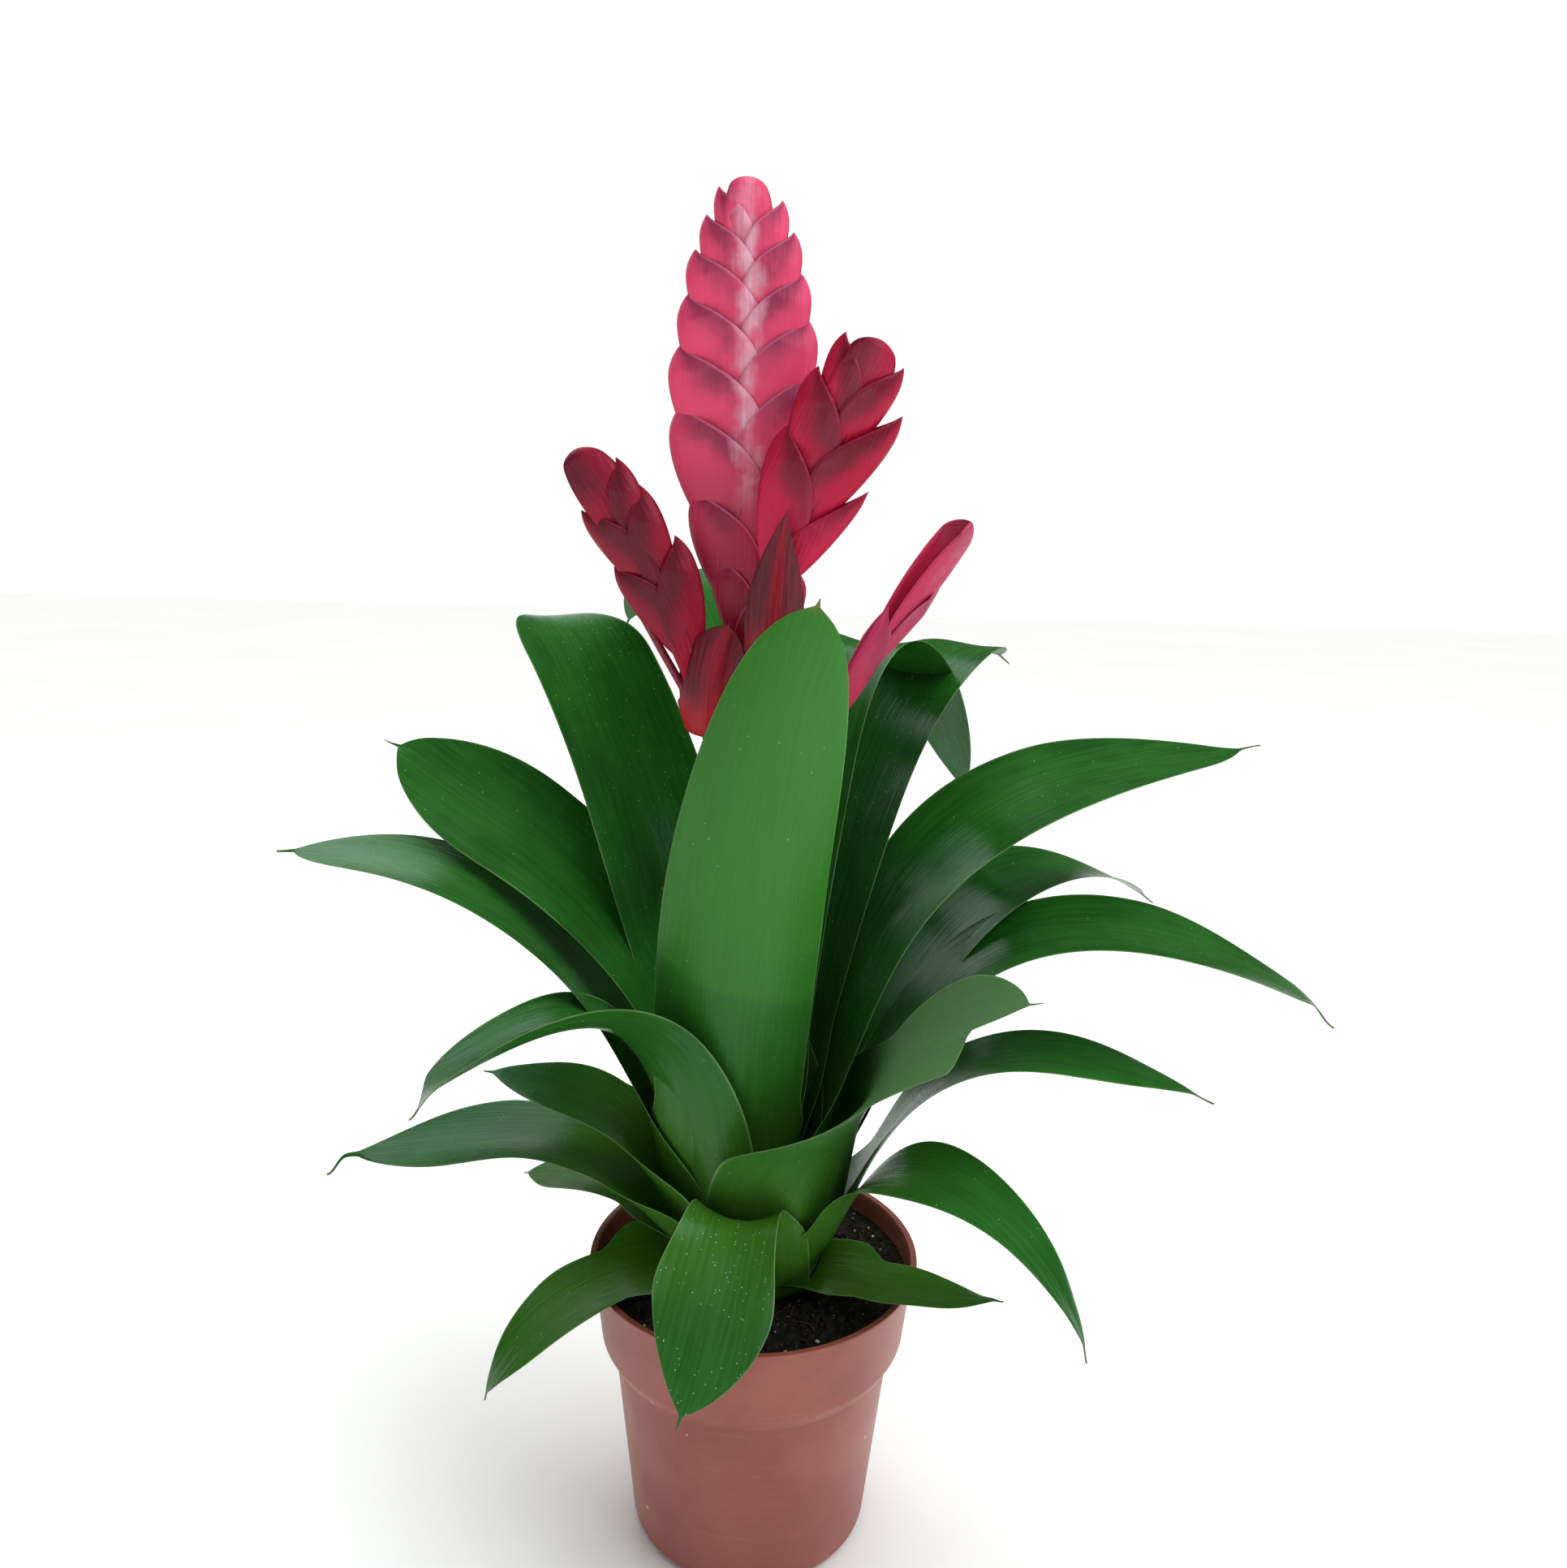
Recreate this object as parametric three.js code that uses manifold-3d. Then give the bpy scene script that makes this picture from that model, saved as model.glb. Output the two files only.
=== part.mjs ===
// Potted flaming sword bromeliad: a rosette of strap leaves and a branched, flattened flower
// spike of boat-shaped bracts, growing in peat in a round plastic pot.
// Millimetres, +Z up, origin at the centre of the pot's flat base, -Y is the plant's front.

import * as THREE from 'three';
import { mergeVertices } from 'three/addons/utils/BufferGeometryUtils.js';
import Module from 'manifold-3d';

const wasm = await Module();
wasm.setup();

// ---------------------------------------------------------------- driving dimensions

const GAP = 0.3; // clearance between pieces that touch on the plant
const EPSILON = 0.03; // smallest facet kept after a cut

const POT_SEGMENTS = 32;
const POT_RIM_RADIUS = 60;
const POT_HEIGHT = 106.5;
const POT_FOOT_RADIUS = 42;
const POT_FLOOR = 2.2;
const POT_WALL = 1.4;
// outer outline, foot to rim: radius and height
const POT_OUTLINE = [
  [POT_FOOT_RADIUS, 0],
  [44, 2.5],
  [51, 71.5],
  [53.2, 73],
  [55.8, 78],
  [58.6, 105],
  [POT_RIM_RADIUS, 105.5],
  [POT_RIM_RADIUS, POT_HEIGHT],
];
const DRAIN_NOTCHES = 8;
const DRAIN_WIDTH = 9;
const DRAIN_DEPTH = 7;
const DRAIN_HEIGHT = 3.4;
const SOIL_LEVEL = 100;
const SOIL_CROWN = 1.2; // the peat stands this much higher at the middle

const CROWN_SEGMENTS = 20;
// short stem with the clasped leaf feet round it, which carries the leaves: radius and height
const CROWN_OUTLINE = [
  [0, 88],
  [9, 88],
  [9, 98.5],
  [20.5, 101.8],
  [25.5, 112],
  [28, 124],
  [28, 142],
  [25.5, 158],
  [17, 167],
  [0, 169],
];
const CROWN_UNDERSIDE = 4; // the outline's first points, which face down
const STALK_RADIUS = 3.6;
const AXIS_RADIUS = 1.3;
const TUBE_SIDES = 6;

const LEAF_ROWS = 13;
const LEAF_COLUMNS = 4;
const LEAF_THICKNESS = 1;
const FOOT_TUCK = 7; // the clasped feet draw in this much where they meet the peat
const TUCK_LENGTH = 15;
const SHEATH_ANGLE = 1.25; // half of the angle that a sheath takes round the stem, radians
const BRACT_ROWS = 7;
// places across a bract, from the back margin over the keel to the front margin
const BRACT_COLUMNS = [-1, -0.6, -0.2, 0, 0.2, 0.6, 1];

// Leaves. az: direction the leaf grows in, degrees from +X. r0, z0: foot. e0, e1: climb angle
// at the foot and the tip. a, b: pull of the foot and the tip on the arch. rt, zt: tip.
// w: blade width. clasp: length over which the sheath holds the stem. neck: width above it.
// twist: turn of the blade, degrees. sway: sideways drift of the tip. cup, cupEnd: curvature
// across the blade at the middle and the tip, open: where it starts to change. t1, p, e: shape
// of the round end. tail: share of the length taken by the thin point.
const LEAVES = {
  leaf_front_upright: { az: -88, r0: 19, z0: 108, e0: 83, a: 100, rt: 66, zt: 350, e1: 84, b: 70,
    w: 59, clasp: 70, neck: 0.95, shift: -11, sway: 24, cup: 1 / 36, cupEnd: 1 / 24, t1: 0.45,
    p: 3, e: 0.58, tail: 0.02 },
  leaf_back_left_arching: { az: 131, r0: 16, z0: 108, e0: 82, a: 116, rt: 150, zt: 323, e1: -50,
    b: 42, w: 58, clasp: 85, cup: 1 / 60, t1: 0.84 },
  leaf_back_right_arching: { az: 48, r0: 16, z0: 108, e0: 82, a: 178, rt: 150, zt: 313, e1: -32,
    b: 60, w: 44, clasp: 85, shift: 8, sway: -8, t1: 0.76 },
  leaf_left_wide: { az: 156, r0: 22, z0: 106, e0: 88, a: 134, rt: 163, zt: 284, e1: 28, b: 102,
    w: 50, clasp: 80, neck: 0.7, twist: -34, t1: 0.72, p: 2.2, e: 0.7 },
  leaf_right_long: { az: 18, r0: 20, z0: 106, e0: 86, a: 172, rt: 200, zt: 288, e1: 4, b: 110,
    w: 52, clasp: 80, twist: 14, t1: 0.7, p: 1.8, e: 0.9 },
  leaf_left_slender: { az: 174, r0: 22.6, z0: 106, e0: 80, a: 108, rt: 176, zt: 250, e1: -3,
    b: 85, w: 50, clasp: 70, t1: 0.72, p: 2.4, e: 0.75 },
  leaf_right_inner: { az: 26, r0: 21, z0: 106, e0: 78, a: 130, rt: 178, zt: 220, e1: -34, b: 80,
    w: 54, clasp: 75, t1: 0.6, p: 2, e: 0.85 },
  leaf_right_drooping: { az: -1, r0: 24, z0: 105, e0: 82, a: 172, rt: 204, zt: 206, e1: -26,
    b: 70, w: 50, clasp: 75, twist: 5, t1: 0.72, p: 2, e: 0.8 },
  leaf_front_right_folded: { az: -40, r0: 30, z0: 104, e0: 88, a: 88, rt: 109, zt: 236, e1: 30,
    b: 46, w: 36, clasp: 100, neck: 1, twist: 50, t1: 0.74 },
  leaf_left_arching: { az: -147, r0: 29, z0: 104, e0: 90, a: 131, rt: 126, zt: 196, e1: -22,
    b: 52, w: 50, clasp: 112, neck: 1.2, t1: 0.76, p: 2.6, e: 0.6, tail: 0.04, twist: 21,
    cup: 1 / 40, cupEnd: 1 / 60 },
  leaf_right_low: { az: -15, r0: 27.4, z0: 103.5, e0: 77, a: 106, rt: 154, zt: 190, e1: -18,
    b: 60, w: 36, clasp: 50, t1: 0.6, p: 2, e: 0.9 },
  leaf_left_short: { az: 178, r0: 28.5, z0: 103.5, e0: 82, a: 60, rt: 99, zt: 174, e1: 14, b: 40,
    w: 48, clasp: 62, t1: 0.5, p: 2, e: 0.85 },
  leaf_left_low_long: { az: 178, r0: 29.2, z0: 103.5, e0: 73, a: 65, rt: 160, zt: 136, e1: -8,
    b: 66, w: 50, clasp: 50, t1: 0.55, p: 1.7, e: 0.9, tail: 0.14 },
  leaf_left_lowest: { az: 160, r0: 30, z0: 103, e0: 60, a: 32, rt: 98, zt: 116, e1: -15, b: 35,
    w: 40, clasp: 28, t1: 0.5, p: 2, e: 0.85 },
  leaf_right_hanging: { az: -35, r0: 30.2, z0: 102.5, e0: 88, a: 84, rt: 129, zt: 118, e1: -74,
    b: 54, w: 37, clasp: 34, t1: 0.4, p: 1.8, e: 1 },
  leaf_right_small: { az: -32, r0: 30.8, z0: 102.5, e0: 50, a: 16, rt: 97, zt: 124, e1: 25, b: 30,
    w: 28, clasp: 22, t1: 0.3, p: 1.6, e: 1 },
  leaf_front_left_hanging: { az: -154, r0: 30.8, z0: 102.5, e0: 52, a: 20, rt: 101, zt: 75,
    e1: -66, b: 34, w: 35, clasp: 26, t1: 0.35, p: 1.9, e: 0.85 },
  leaf_front_hanging: { az: -101, r0: 30, z0: 102, e0: 84, a: 88, rt: 79, zt: 90, e1: -68, b: 34,
    w: 45, clasp: 46, neck: 0.7, t1: 0.5, p: 2.1, e: 0.8, tail: 0.09, shift: 4, sway: -12,
    cup: 1 / 13, cupEnd: 1 / 70, open: 0.25 },
  leaf_rear_right_tall: { az: 54, r0: 16, z0: 108, e0: 92, a: 315, rt: 150, zt: 250, e1: -55,
    b: 90, w: 38, clasp: 85, neck: 0.7 },
  leaf_rear_left_tall: { az: 115, r0: 18, z0: 108, e0: 93, a: 250, rt: 160, zt: 318, e1: -42,
    b: 96, w: 38, clasp: 80, neck: 0.6, shift: -10, sway: 10 },
  leaf_rear_middle: { az: 104, r0: 15, z0: 108, e0: 92, a: 262, rt: 165, zt: 296, e1: -44, b: 96,
    w: 40, clasp: 85, neck: 0.6, shift: -8, sway: 8 },
  leaf_rear_right_low: { az: 80, r0: 22, z0: 105, e0: 80, a: 150, rt: 185, zt: 190, e1: -48,
    b: 90, w: 46, clasp: 70 },
  leaf_rear_left_low: { az: 110, r0: 25, z0: 104, e0: 76, a: 120, rt: 172, zt: 165, e1: -45,
    b: 75, w: 46, clasp: 60 },
};
const LEAF_DEFAULTS = {
  twist: 0, sway: 0, shift: 0, cup: 1 / 70, cupEnd: 1 / 90, t1: 0.62, p: 2.4, e: 0.72,
  tail: 0.05, sheath: 0.8, neck: 0.86, clasp: 60, open: 0.5, tuck: 0,
};

// Small leaf-like bracts at the feet of the side branches, drawn as leaves. shift: the whole
// bract's sideways place.
const BRANCH_BRACTS = {
  branch_bract_front: { az: -88, r0: 9.5, z0: 316, e0: 70, a: 20, rt: 23, zt: 373.5, e1: 74,
    b: 22, w: 24, clasp: 14, shift: 1.5, sway: 3, cup: 1 / 12, cupEnd: 1 / 12, t1: 0.3, p: 1.5,
    e: 0.95 },
  branch_bract_left: { az: -90, r0: 9, z0: 300, e0: 72, a: 16, rt: 13, zt: 338, e1: 86, b: 12,
    w: 29, clasp: 12, shift: -18, sway: 6, cup: 1 / 13, cupEnd: 1 / 14, t1: 0.4, p: 2 },
};

// Flat flower spikes. foot, tip: ends of the axis. bow: sideways bend of the axis.
// face: direction that the flat side looks in, degrees from +X. half, rise: half thickness at a
// bract's foot and how much it grows per millimetre of height.
// bracts: side (-1 left, 1 right, 0 the last one at the tip), foot height, length, reach and,
// for a finger-like one, its slimness.
const SPIKES = {
  main_spike: { foot: [-5, 0, 272], tip: [-9, 0, 472.5], bow: 0, face: -90, half: 2.2,
    rise: 0.085, bracts: [
      [1, 46, 36, 19], [-1, 50, 38, 13], [-1, 60, 48, 20], [1, 68, 55, 21], [-1, 78, 56, 26],
      [1, 88, 56, 22.5], [-1, 98, 54, 26], [1, 108, 52, 22], [-1, 117, 50, 23],
      [1, 126, 47, 19.8], [-1, 135, 45, 20], [1, 142, 43, 16.8], [-1, 150, 40, 15.6],
      [1, 157, 37, 12.6], [-1, 164, 34, 11], [0, 170, 30.5, 7.2],
    ] },
  right_spike: { foot: [-5, -9, 338], tip: [34.5, -23, 429], bow: -1, face: -86, half: 2,
    rise: 0.08, bracts: [
      [1, 7, 46, 18.5, 1], [-1, 12, 49, 17], [1, 26, 51.5, 18.5, 0.5], [-1, 34, 46, 16],
      [1, 46, 44, 12], [-1, 54, 38, 12.5], [0, 62, 32, 8.5],
    ] },
  left_spike: { foot: [-19, -6, 303], tip: [-61, -12, 391], bow: 5, face: -92, half: 2,
    rise: 0.08, bracts: [
      [1, 14, 47, 14.5], [-1, 20, 40, 12], [1, 35, 45, 12], [-1, 38, 42, 12], [1, 50, 40, 10.5],
      [0, 60, 37, 8],
    ] },
  thin_spike: { foot: [18, -2, 300], tip: [66, 6, 371.5], bow: -1.5, face: -42, half: 2,
    rise: 0.05, bracts: [
      [-1, 2, 46, 9], [1, 16, 50, 8], [0, 32, 54, 6.5],
    ] },
};
// routes of the flower stalk and of its side branches, foot to end
const STALK_ROUTE = [[0, 0, 112], [0, 0, 190], [-5, 0, 272], [-5.8, 0, 312]];
const BRANCH_ROUTES = [
  [[-5.8, 0, 308], [-6.6, 0, 352], [-8.4, 0, 442]],
  [[-5.4, 0, 318], [-5, -7, 336], [9, -14, 372], [21, -19, 402]],
  [[-4, 0, 262], [-12, -4, 284], [-22, -6, 306], [-44, -9, 346], [-54, -11, 372]],
  [[-3.5, 0, 250], [7, -1, 274], [18.5, -2, 300], [36, 1, 326], [54, 4, 352]],
];

const leafMaterial = new THREE.MeshStandardMaterial({
  color: 0x1f6b24, roughness: 0.38, metalness: 0, name: 'leaf',
});
const pinkBractMaterial = new THREE.MeshStandardMaterial({
  color: 0xd2486c, roughness: 0.42, metalness: 0, name: 'pink_bract',
});
const redBractMaterial = new THREE.MeshStandardMaterial({
  color: 0xa3122c, roughness: 0.4, metalness: 0, name: 'red_bract',
});
const stemMaterial = new THREE.MeshStandardMaterial({
  color: 0x7d3a33, roughness: 0.55, metalness: 0, name: 'stem',
});
const potMaterial = new THREE.MeshStandardMaterial({
  color: 0xa95b4d, roughness: 0.42, metalness: 0, name: 'pot_plastic',
});
const peatMaterial = new THREE.MeshStandardMaterial({
  color: 0x1b1512, roughness: 0.95, metalness: 0, name: 'peat',
});

// ---------------------------------------------------------------- small helpers

const vector = (xyz) => new THREE.Vector3(...xyz);
const radians = THREE.MathUtils.degToRad;

// 0 below a, 1 above b, and an S-shaped step between them
const smooth = (a, b, x) => THREE.MathUtils.smoothstep(x, a, b);

// point on the cubic curve with these four [x, y] control points
function cubic([p0, p1, p2, p3], t) {
  const s = 1 - t;
  const weights = [s * s * s, 3 * s * s * t, 3 * s * t * t, t * t * t];
  return [0, 1].map((k) => (
    p0[k] * weights[0] + p1[k] * weights[1] + p2[k] * weights[2] + p3[k] * weights[3]
  ));
}

// closed surface through rings of points, each ring going round the same way. The second half
// of a ring is split along the other diagonal, so that the two faces of a thin piece bend alike,
// and the ends are closed by strips between the two halves.
function closedRings(rings) {
  const sides = rings[0].length;
  const positions = rings.flat().flatMap((point) => point.toArray());
  const index = [];
  for (let i = 0; i < rings.length - 1; i += 1) {
    for (let j = 0; j < sides; j += 1) {
      const a = i * sides + j;
      const b = i * sides + ((j + 1) % sides);
      if (j < Math.floor(sides / 2)) index.push(a, b, b + sides, a, b + sides, a + sides);
      else index.push(a, b, a + sides, b, b + sides, a + sides);
    }
  }
  const last = (rings.length - 1) * sides;
  for (let j = 0; 2 * j < sides - 2; j += 1) {
    const [a, b, c, d] = [j, j + 1, sides - 2 - j, sides - 1 - j];
    index.push(a, d, b, last + a, last + b, last + d);
    if (c > b) index.push(b, d, c, last + b, last + c, last + d);
  }
  const geometry = new THREE.BufferGeometry();
  geometry.setAttribute('position', new THREE.Float32BufferAttribute(positions, 3));
  geometry.setIndex(index);
  return geometry;
}

// geometry to solid
function solid(geometry) {
  const bare = new THREE.BufferGeometry();
  bare.setAttribute('position', geometry.getAttribute('position'));
  bare.setIndex(geometry.getIndex());
  const merged = mergeVertices(bare, 1e-4);
  const found = new wasm.Manifold(new wasm.Mesh({
    numProp: 3,
    vertProperties: new Float32Array(merged.getAttribute('position').array),
    triVerts: new Uint32Array(merged.getIndex().array),
  }));
  return found;
}

// solid to geometry
function geometryOf(shape) {
  const mesh = shape.getMesh();
  const geometry = new THREE.BufferGeometry();
  const positions = new Float32Array(mesh.numVert * 3);
  for (let i = 0; i < mesh.numVert; i += 1) {
    positions.set(mesh.vertProperties.subarray(i * mesh.numProp, i * mesh.numProp + 3), i * 3);
  }
  geometry.setAttribute('position', new THREE.BufferAttribute(positions, 3));
  geometry.setIndex(new THREE.BufferAttribute(new Uint32Array(mesh.triVerts), 1));
  return geometry;
}

// the largest body of a solid that a cut left in several
function largestBody(shape) {
  return shape.decompose().reduce((best, body) => (body.volume() > best.volume() ? body : best));
}

// ---------------------------------------------------------------- leaves

// centre line in the leaf's upright plane, as [distance from the stem, height], in equal steps
function leafLine(leaf, rows) {
  const [e0, e1] = [radians(leaf.e0), radians(leaf.e1)];
  const foot = [leaf.r0, leaf.z0];
  const tip = [leaf.rt, leaf.zt];
  const controls = [
    foot,
    [foot[0] + leaf.a * Math.cos(e0), foot[1] + leaf.a * Math.sin(e0)],
    [tip[0] - leaf.b * Math.cos(e1), tip[1] - leaf.b * Math.sin(e1)],
    tip,
  ];
  const curve = new THREE.CubicBezierCurve(...controls.map((c) => new THREE.Vector2(...c)));
  return { points: curve.getSpacedPoints(rows - 1), length: curve.getLength() };
}

// blade width along the leaf: the sheath up to clasp, the neck, the full blade and a round end
// with a short point
function leafWidth(leaf, t, length) {
  const along = t * length;
  const held = leaf.clasp;
  const sheath = (leaf.sheath - leaf.neck) * (1 - smooth(0.55 * held, held, along));
  const spread = (1 - leaf.neck) * smooth(0.9 * held, 0.9 * held + 0.3 * length, along);
  const body = leaf.w * (leaf.neck + sheath + spread);
  const end = 1 - 0.6 * leaf.tail;
  const q = THREE.MathUtils.clamp((t - leaf.t1) / (end - leaf.t1), 0, 1);
  const rounded = body * (1 - q ** leaf.p) ** leaf.e;
  const point = leaf.w * Math.min(0.1, (0.055 / leaf.tail) * (1 - t)) * smooth(0.84, 0.94, t);
  return Math.max(Math.hypot(rounded, point), 0.8);
}

// closed leaf: two faces along a curved centre line, bent across into an arc that lies round
// the stem at the sheath and is shallow along the blade. grow makes it larger all round.
function leafGeometry(spec, grow = 0) {
  const leaf = { ...LEAF_DEFAULTS, ...spec };
  const { points, length } = leafLine(leaf, LEAF_ROWS);
  const outward = vector([Math.cos(radians(leaf.az)), Math.sin(radians(leaf.az)), 0]);
  const across = vector([-outward.y, outward.x, 0]);
  const up = vector([0, 0, 1]);
  const centre = points.map((point, i) => {
    const t = i / (LEAF_ROWS - 1);
    point.x -= leaf.tuck * Math.exp(-(((t * length) / TUCK_LENGTH) ** 2));
    return new THREE.Vector3()
      .addScaledVector(outward, point.x)
      .addScaledVector(across, leaf.shift + leaf.sway * t ** 3)
      .addScaledVector(up, point.y);
  });
  const rings = centre.map((place, i) => {
    const t = i / (LEAF_ROWS - 1);
    const before = Math.max(i - 1, 0);
    const after = Math.min(i + 1, LEAF_ROWS - 1);
    const tangent = centre[after].clone().sub(centre[before]).normalize();
    const slope = points[after].clone().sub(points[before]).normalize();
    const normal = outward.clone().multiplyScalar(-slope.y).addScaledVector(up, slope.x);
    normal.addScaledVector(tangent, -normal.dot(tangent)).normalize();
    const side = normal.clone().cross(tangent);
    const turn = radians(leaf.twist) * smooth(0.15, 1, t);
    side.applyAxisAngle(tangent, -turn);
    normal.applyAxisAngle(tangent, -turn);
    const hold = Math.exp(-(((t * length) / leaf.clasp) ** 4));
    const wrap = (1 / points[i].x - leaf.cup) * hold;
    const flatten = smooth(leaf.open, leaf.open + 0.5, t);
    const bend = leaf.cup + wrap + (leaf.cupEnd - leaf.cup) * flatten;
    const half = Math.min(leafWidth(leaf, t, length) / 2, SHEATH_ANGLE / bend) + grow;
    const shiftAlong = i === 0 ? -grow : (i === LEAF_ROWS - 1) * grow;
    const row = (level) => Array.from({ length: LEAF_COLUMNS }, (_, j) => {
      const angle = bend * half * ((2 * j) / (LEAF_COLUMNS - 1) - 1);
      return place.clone()
        .addScaledVector(tangent, shiftAlong)
        .addScaledVector(side, Math.sin(angle) * (1 / bend - level))
        .addScaledVector(normal, 1 / bend - Math.cos(angle) * (1 / bend - level));
    });
    const depth = LEAF_THICKNESS / 2 + grow;
    return [...row(depth).reverse(), ...row(-depth)];
  });
  return closedRings(rings);
}

// ---------------------------------------------------------------- bracts

// axis frame of a spike: along the axis, across it, and out of its flat side
function spikeFrame(spike) {
  const foot = vector(spike.foot);
  const along = vector(spike.tip).sub(foot);
  const length = along.length();
  along.normalize();
  const face = vector([Math.cos(radians(spike.face)), Math.sin(radians(spike.face)), 0]);
  face.addScaledVector(along, -face.dot(along)).normalize();
  return { foot, along, length, face, across: along.clone().cross(face) };
}

// keel and free margin of a bract, as control points [across, along]
function bractOutline([side, start, length, reach, slim = 0]) {
  const place = (x, y) => [x * reach, start + y * length];
  if (side === 0) {
    const keel = [place(0.3, 0), place(1.3, 0.25), place(1.25, 0.88), place(0.42, 1)];
    return { keel, margin: keel.map(([x, y]) => [-x, y]) };
  }
  return {
    keel: [
      place(0, 0), place(0.45, 0.15), place(1.3 - 0.35 * slim, 0.75), place(0.86 + 0.08 * slim, 1),
    ],
    margin: [
      place(-0.2, 0.03), place(-0.5 + 0.2 * slim, 0.8 - 0.25 * slim),
      place(0.35, 0.8 - 0.15 * slim), place(0.78 + 0.1 * slim, 0.985),
    ],
  };
}

// closed boat shape of a bract: the keel at its outer edge, both faces swelling from the keel to
// the free margin, and a round end. grow makes it larger all round.
function bractGeometry(spike, bract, grow = 0) {
  const [side, start] = bract;
  const { foot, along, length, face, across } = spikeFrame(spike);
  const { keel, margin } = bractOutline(bract);
  const rings = Array.from({ length: BRACT_ROWS }, (_, i) => {
    const t = i / (BRACT_ROWS - 1);
    const a = cubic(keel, t);
    const b = cubic(margin, t);
    const end = THREE.MathUtils.clamp((t - 0.8) / 0.2, 0, 1);
    const close = 0.12 + 0.88 * Math.sqrt(Math.max(1 - end ** 2.2, 0));
    const middle = [(a[0] + b[0]) / 2, (a[1] + b[1]) / 2];
    const rib = [(a[0] - b[0]) * close, (a[1] - b[1]) * close];
    const width = Math.hypot(...rib);
    const stretch = 0.5 + grow / width;
    const ring = BRACT_COLUMNS.map((v) => {
      const s = stretch * (1 - 2 * Math.abs(v));
      const x = middle[0] + rib[0] * s;
      const y = middle[1] + rib[1] * s + (i === 0 ? -grow : (i === BRACT_ROWS - 1) * grow);
      const half = Math.min(spike.half + spike.rise * (y - start), 0.21 * width + 0.2);
      const swell = Math.sqrt(1 - (1 - Math.abs(v)) ** 2);
      const out = Math.sign(v) * (half * swell + (v === 0 ? 0 : grow));
      const q = y / length;
      const bow = 4 * spike.bow * q * (1 - q);
      return foot.clone()
        .addScaledVector(across, (side || 1) * x + bow)
        .addScaledVector(along, y)
        .addScaledVector(face, out);
    });
    return side < 0 ? ring : ring.reverse();
  });
  return closedRings(rings);
}

// ---------------------------------------------------------------- stem, pot and peat

// closed round bar along a smooth route
function barGeometry(route, radius) {
  const curve = new THREE.CatmullRomCurve3(route.map(vector));
  const section = new THREE.Shape();
  for (let i = 0; i < TUBE_SIDES; i += 1) {
    const angle = (2 * Math.PI * i) / TUBE_SIDES;
    const corner = [radius * Math.cos(angle), radius * Math.sin(angle)];
    if (i === 0) section.moveTo(...corner);
    else section.lineTo(...corner);
  }
  const steps = 3 * (route.length - 1);
  return new THREE.ExtrudeGeometry(section, { steps, extrudePath: curve, bevelEnabled: false });
}

// closed turned body about the vertical axis, from an outline of [radius, height]
function turned(outline, segments) {
  const points = outline.map(([r, z]) => new THREE.Vector2(r, z));
  return new THREE.LatheGeometry(points, segments).rotateX(Math.PI / 2);
}

function stemSolid(grow = 0) {
  const crown = CROWN_OUTLINE.map(([r, z], i) => (
    [r === 0 ? 0 : r + grow, i < CROWN_UNDERSIDE ? z - grow : z + grow]
  ));
  const bars = [solid(barGeometry(STALK_ROUTE, STALK_RADIUS + grow))];
  for (const route of BRANCH_ROUTES) bars.push(solid(barGeometry(route, AXIS_RADIUS + grow)));
  return bars.reduce((whole, bar) => whole.add(bar), solid(turned(crown, CROWN_SEGMENTS)));
}

// inner outline of the pot, rim to floor
function potInside(clearance) {
  const wall = POT_WALL + clearance;
  return POT_OUTLINE.slice(1, -2).reverse()
    .map(([r, z]) => [r - wall, Math.max(z, POT_FLOOR + clearance)]);
}

function potSolid() {
  const rimInside = [POT_RIM_RADIUS - 2.2, POT_HEIGHT];
  const outline = [[0, 0], ...POT_OUTLINE, rimInside, ...potInside(0), [0, POT_FLOOR]];
  let pot = solid(turned(outline, POT_SEGMENTS));
  for (let i = 0; i < DRAIN_NOTCHES; i += 1) {
    const notch = new THREE.BoxGeometry(DRAIN_DEPTH, DRAIN_WIDTH, DRAIN_HEIGHT);
    notch.translate(POT_FOOT_RADIUS, 0, DRAIN_HEIGHT / 2 - 1);
    notch.rotateZ((2 * Math.PI * (i + 0.5)) / DRAIN_NOTCHES);
    pot = pot.subtract(solid(notch));
  }
  return pot;
}

function soilSolid() {
  const inside = potInside(GAP).filter(([, z]) => z < SOIL_LEVEL);
  const [upper] = inside;
  const shoulder = POT_OUTLINE[5];
  const share = (SOIL_LEVEL - upper[1]) / (shoulder[1] - upper[1]);
  const edge = upper[0] + (shoulder[0] - POT_WALL - GAP - upper[0]) * share;
  const floor = POT_FLOOR + GAP;
  const top = [[edge, SOIL_LEVEL], [edge * 0.6, SOIL_LEVEL + SOIL_CROWN * 0.6]];
  const outline = [[0, floor], ...inside.reverse(), ...top, [0, SOIL_LEVEL + SOIL_CROWN]];
  return solid(turned(outline, POT_SEGMENTS));
}

// ---------------------------------------------------------------- assembly

const plant = new THREE.Group();
plant.name = 'flaming_sword_bromeliad';
const placed = [];

// adds a piece, cut back where an earlier one lies, and keeps a slightly larger copy of it to
// cut the later ones
function addPiece(name, material, shape, larger) {
  let cut = shape;
  const box = shape.boundingBox();
  for (const other of placed) {
    const apart = [0, 1, 2].some((k) => (
      box.min[k] > other.box.max[k] || box.max[k] < other.box.min[k]
    ));
    if (!apart) cut = cut.subtract(other.shape);
  }
  const mesh = new THREE.Mesh(geometryOf(largestBody(cut).simplify(EPSILON)), material);
  mesh.name = name;
  plant.add(mesh);
  placed.push({ shape: larger, box: larger.boundingBox() });
}

addPiece('pot', potMaterial, potSolid(), potSolid());
addPiece('stem', stemMaterial, stemSolid(), stemSolid(GAP));
addPiece('potting_soil', peatMaterial, soilSolid(), soilSolid());

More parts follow.
